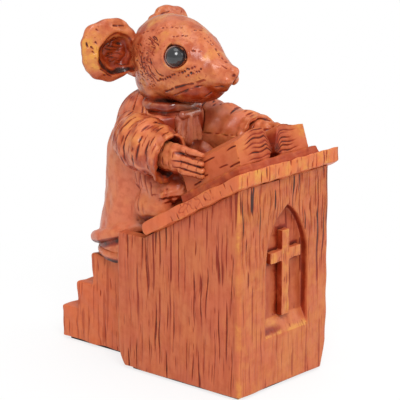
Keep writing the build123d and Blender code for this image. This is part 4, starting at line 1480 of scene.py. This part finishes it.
def ear_shape(name, side):
    """Round cupped ear on a thick root, with a dark rolled edge inside."""
    node = f"{name}_ear"
    low, high = node_box(node)
    middle = (low + high) / 2
    turn = math.radians(20 if side < 0 else -4)
    middle += (0, 0, -0.4) if side < 0 else (-0.2, 0.2, 0.3)
    face = np.array([side * math.sin(turn), -math.cos(turn), 0])
    outward = np.array([side * math.cos(turn), math.sin(turn), 0])
    radius = (high[2] - low[2]) / 2 + (0.2 if side < 0 else 0)
    bm = bmesh.new()
    made = bmesh.ops.create_icosphere(bm, subdivisions=6, radius=1.0)
    for vert in made["verts"]:
        wide, thick, tall = vert.co
        angle = math.atan2(tall, wide)
        rim = 1 - 0.025 * math.cos(3 * angle + 0.6) - 0.02 * math.cos(5 * angle)
        thick = math.copysign(abs(thick) ** 0.7, thick)
        place = outward * wide * radius * rim - face * thick * 1.8
        vert.co = Vector(middle + place + (0, 0, tall * radius * rim))
    root = middle - outward * 5.0 - face * 1.0 + (0, 0, -3.4)
    limb(bm, root, root - outward * 1.8 + face * 2.4 + (0, 0, -1.0), 2.6, 3.0, 6)
    limb(bm, root + (0, 0, 3.8), root - outward * 2.0 + face * 2.0 + (0, 0, 3.6), 2.2, 2.4, 6)
    clay = fused(bm, f"ear_{name}", 0.16)
    clay.smooth(4)
    offset = clay.points - middle
    wide, tall = offset @ outward, offset[:, 2]
    from_cup_wide, from_cup_tall = wide + 1.5, tall + 0.9
    hollow = np.hypot(from_cup_wide / 4.8, from_cup_tall / 4.7)
    front = ease(clay.normals @ face, 0.1, 0.5)
    cup = front * (1 - ease(hollow, 0.62, 1.02))
    rolled = front * bell(hollow - 1.18, 0.15)
    clay.points += face * (0.30 * rolled - 2.1 * cup)[:, None]
    clay.refresh()
    angle = np.arctan2(from_cup_tall, from_cup_wide)
    wobble = 0.05 * np.sin(3 * angle) + 0.03 * np.sin(7 * angle + 1)
    low_side = 0.5 + 0.5 * ease(np.cos(angle + 0.3 * math.pi), -0.4, 0.5)
    ring = front * bell(hollow - 0.97 + wobble, 0.11 * low_side + 0.03) * low_side
    clay.cut(0.34 * ring, 0.24)
    for swirl in (0.72, 0.52):
        arc = front * bell(hollow - swirl + 1.5 * wobble, 0.05)
        clay.cut(0.2 * arc * ease(np.sin(2 * angle + 9 * swirl), -0.5, 0.4), 0.24)
    for rise, start, end in CUP_CREASES:
        line = bell(tall - rise - 0.3 * np.sin(1.1 * wide + 2 * rise), 0.18)
        span = ease(wide, start, start + 0.8) * ease(-wide, -end, -end + 0.8)
        clay.cut(0.24 * line * span * cup, 0.2)
    depth = np.zeros(len(clay.points))
    for ends in EAR_STROKES:
        path = [middle + outward * place[0] + face * 1.5 + (0, 0, place[1]) for place in ends]
        near = clay.points[np.argmin(((clay.points - path[0]) ** 2).sum(axis=1))]
        path = [place + face * ((near - path[0]) @ face) for place in path]
        depth = np.maximum(depth, path_depth(clay.points, path, 0.15, 0.3))
    clay.cut(depth, 0.24)
    clay.roughen(0.14, 3.5, 151 + side)
    clay.settle()
    gold = front * ease(wide, 2.4, 4.0) * ease(tall, -5.6, -2.6) * ease(-tall, -5.6, -3.0)
    clay.rub(2.2 * gold * clay.patches(0.8, 0.5, 5.0, 153, least=0.4))
    clay.wash_and_shade(0.3 * (1 - gold) * clay.patches(0.4, 0.6, 4.0, 154))
    clay.wash_and_shade(0.62 * cup)
    clay.wash_and_shade(0.3 * ease(-tall, 3.0, 6.5))
    clay.piece(f"ear_{name}", material("fur_paint"), node, "mouse_resin")


# Underside and stage


def felt_shape():
    """Pad cut to the outline of the pulpit and the steps."""
    node = "felt_pad"
    bm = bmesh.new()
    node_copy(bm, node)
    bmesh.ops.dissolve_limit(bm, angle_limit=math.radians(1), verts=bm.verts, edges=bm.edges)
    bmesh.ops.triangulate(bm, faces=bm.faces)
    bmesh.ops.scale(bm, vec=(MM, MM, MM), verts=bm.verts)
    area = sum(face.calc_area() for face in bm.faces if face.normal.z < -0.9)
    mesh = mesh_from(bm, "felt_cut")
    mesh.materials.append(material("dark_felt"))
    pad = link("felt_cut", mesh)
    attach(pad, ROOT)
    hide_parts(node)


def paint_dowels():
    """Steel on the dowels and the peg, which no side shows."""
    for node in ("stair_pins", "desk_pins", "neck_peg"):
        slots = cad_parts[node].data.materials
        slots.clear()
        slots.append(material("dowel_steel"))


def floor_shape():
    """Wide plane under the ornament."""
    bm = bmesh.new()
    bmesh.ops.create_grid(bm, x_segments=2, y_segments=2, size=2.0)
    mesh = mesh_from(bm, "floor")
    mesh.materials.append(material("pale_floor"))
    floor = link("floor", mesh)


# Lamps in metres and watts: place, width and power; all point at the mouse's waist
LAMP_AIM = (0, 0, 0.045)
LAMPS = {
    "window": ((-0.35, -0.40, 0.55), 0.35, 3.2),
    "fill": ((0.45, -0.45, 0.30), 0.40, 0.8),
    "overhead": ((0.0, -0.05, 0.70), 0.45, 0.9),
}

# Camera fitted to the photo: point looked at, turn, rise and distance in millimetres
CAMERA_TARGET = (-8.465, -12.2, 43.67)
CAMERA_TURN = math.radians(-48.93)
CAMERA_RISE = math.radians(14.96)
CAMERA_AWAY = 493.05


def soft_lamp(name, place, size, power):
    """Round lamp that points at the mouse."""
    lamp = bpy.data.lights.new(name, "AREA")
    lamp.shape = "DISK"
    lamp.size = size
    lamp.energy = power
    made = link(name, lamp)
    made.location = place
    made.rotation_euler = (Vector(LAMP_AIM) - Vector(place)).to_track_quat("-Z", "Y").to_euler()


def studio_light():
    """White surround and three soft lamps."""
    world = bpy.data.worlds.new("studio")
    bpy.context.scene.world = world
    world.use_nodes = True
    tree = world.node_tree
    sky = tree.nodes["Background"]
    sky.inputs["Color"].default_value = (1, 1, 1, 1)
    seen = add_node(tree, "ShaderNodeLightPath").outputs["Is Camera Ray"]
    tree.links.new(stretch(tree, seen, 0.0, 1.0, 0.58, 1.0), sky.inputs["Strength"])
    for name, settings in LAMPS.items():
        soft_lamp(name, *settings)


def photo_camera():
    """Camera at the photo's place."""
    camera = bpy.data.cameras.new("camera")
    camera.lens = 189
    camera.sensor_width = 36
    camera.clip_start = 0.01
    made = link("camera", camera)
    level = math.cos(CAMERA_RISE)
    way = Vector((
        math.sin(CAMERA_TURN) * level, -math.cos(CAMERA_TURN) * level, math.sin(CAMERA_RISE),
    ))
    made.location = (Vector(CAMERA_TARGET) + way * CAMERA_AWAY) * MM
    made.rotation_euler = (-way).to_track_quat("-Z", "Y").to_euler()
    bpy.context.scene.camera = made


# Operators and panel


class MOUSE_OT_pulpit(Operator):
    """Carve the pulpit and the cross in its niche"""

    bl_idname = "church_mouse.pulpit"
    bl_label = "Pulpit"

    def execute(self, context):
        pulpit_shape()
        cross_shape()
        return {"FINISHED"}


class MOUSE_OT_steps(Operator):
    """Carve the steps behind the pulpit"""

    bl_idname = "church_mouse.steps"
    bl_label = "Steps"

    def execute(self, context):
        steps_shape()
        return {"FINISHED"}


class MOUSE_OT_desk(Operator):
    """Carve the sloping board on the pulpit"""

    bl_idname = "church_mouse.desk"
    bl_label = "Desk"

    def execute(self, context):
        desk_shape()
        return {"FINISHED"}


class MOUSE_OT_book(Operator):
    """Carve the open book"""

    bl_idname = "church_mouse.book"
    bl_label = "Book"

    def execute(self, context):
        cover_shape()
        pages_shape("right", -1)
        pages_shape("left", 1)
        return {"FINISHED"}


class MOUSE_OT_clothes(Operator):
    """Model the robe, the cassock, the collar, the bands and the sleeves"""

    bl_idname = "church_mouse.clothes"
    bl_label = "Clothes"

    def execute(self, context):
        robe_shape()
        cassock_shape()
        collar_shape()
        bands_shape()
        sleeve_shape("right", -1)
        sleeve_shape("left", 1)
        return {"FINISHED"}


class MOUSE_OT_paws(Operator):
    """Model the two paws"""

    bl_idname = "church_mouse.paws"
    bl_label = "Paws"

    def execute(self, context):
        paw_shape("right", -1)
        paw_shape("left", 1)
        return {"FINISHED"}


class MOUSE_OT_head(Operator):
    """Model the head with its eyes and ears"""

    bl_idname = "church_mouse.head"
    bl_label = "Head"

    def execute(self, context):
        head_shape()
        for name, side in (("right", -1), ("left", 1)):
            eye_shape(name)
            ear_shape(name, side)
        return {"FINISHED"}


class MOUSE_OT_underside(Operator):
    """Lay the felt pad and finish the hidden dowels"""

    bl_idname = "church_mouse.underside"
    bl_label = "Felt and dowels"

    def execute(self, context):
        felt_shape()
        paint_dowels()
        return {"FINISHED"}


class MOUSE_OT_stage(Operator):
    """Set the floor, the light and the camera"""

    bl_idname = "church_mouse.stage"
    bl_label = "Stage"

    def execute(self, context):
        context.scene.view_settings.view_transform = "Standard"
        floor_shape()
        studio_light()
        photo_camera()
        return {"FINISHED"}


PIECES = (
    MOUSE_OT_pulpit, MOUSE_OT_steps, MOUSE_OT_desk, MOUSE_OT_book, MOUSE_OT_clothes,
    MOUSE_OT_paws, MOUSE_OT_head, MOUSE_OT_underside, MOUSE_OT_stage,
)


class MOUSE_PT_panel(Panel):
    """Pieces, colours and carving of the church mouse"""

    bl_label = "Church Mouse"
    bl_idname = "MOUSE_PT_panel"
    bl_space_type = "VIEW_3D"
    bl_region_type = "UI"
    bl_category = "Church Mouse"

    def draw(self, context):
        column = self.layout.column(align=True)
        for piece in PIECES:
            column.operator(piece.bl_idname)
        for settings in (context.scene.mouse_finish, context.scene.mouse_carving):
            column = self.layout.column()
            for name in settings.__annotations__:
                column.prop(settings, name)


CLASSES = (MouseFinish, MouseCarving) + PIECES + (MOUSE_PT_panel,)


def register():
    for cls in CLASSES:
        bpy.utils.register_class(cls)
    bpy.types.Scene.mouse_finish = PointerProperty(type=MouseFinish)
    bpy.types.Scene.mouse_carving = PointerProperty(type=MouseCarving)


def unregister():
    del bpy.types.Scene.mouse_carving
    del bpy.types.Scene.mouse_finish
    for cls in reversed(CLASSES):
        bpy.utils.unregister_class(cls)


def main():
    register()
    bpy.ops.church_mouse.pulpit()
    bpy.ops.church_mouse.steps()
    bpy.ops.church_mouse.desk()
    bpy.ops.church_mouse.book()
    bpy.ops.church_mouse.clothes()
    bpy.ops.church_mouse.paws()
    bpy.ops.church_mouse.head()
    bpy.ops.church_mouse.underside()
    bpy.ops.church_mouse.stage()


if __name__ == "__main__":
    main()
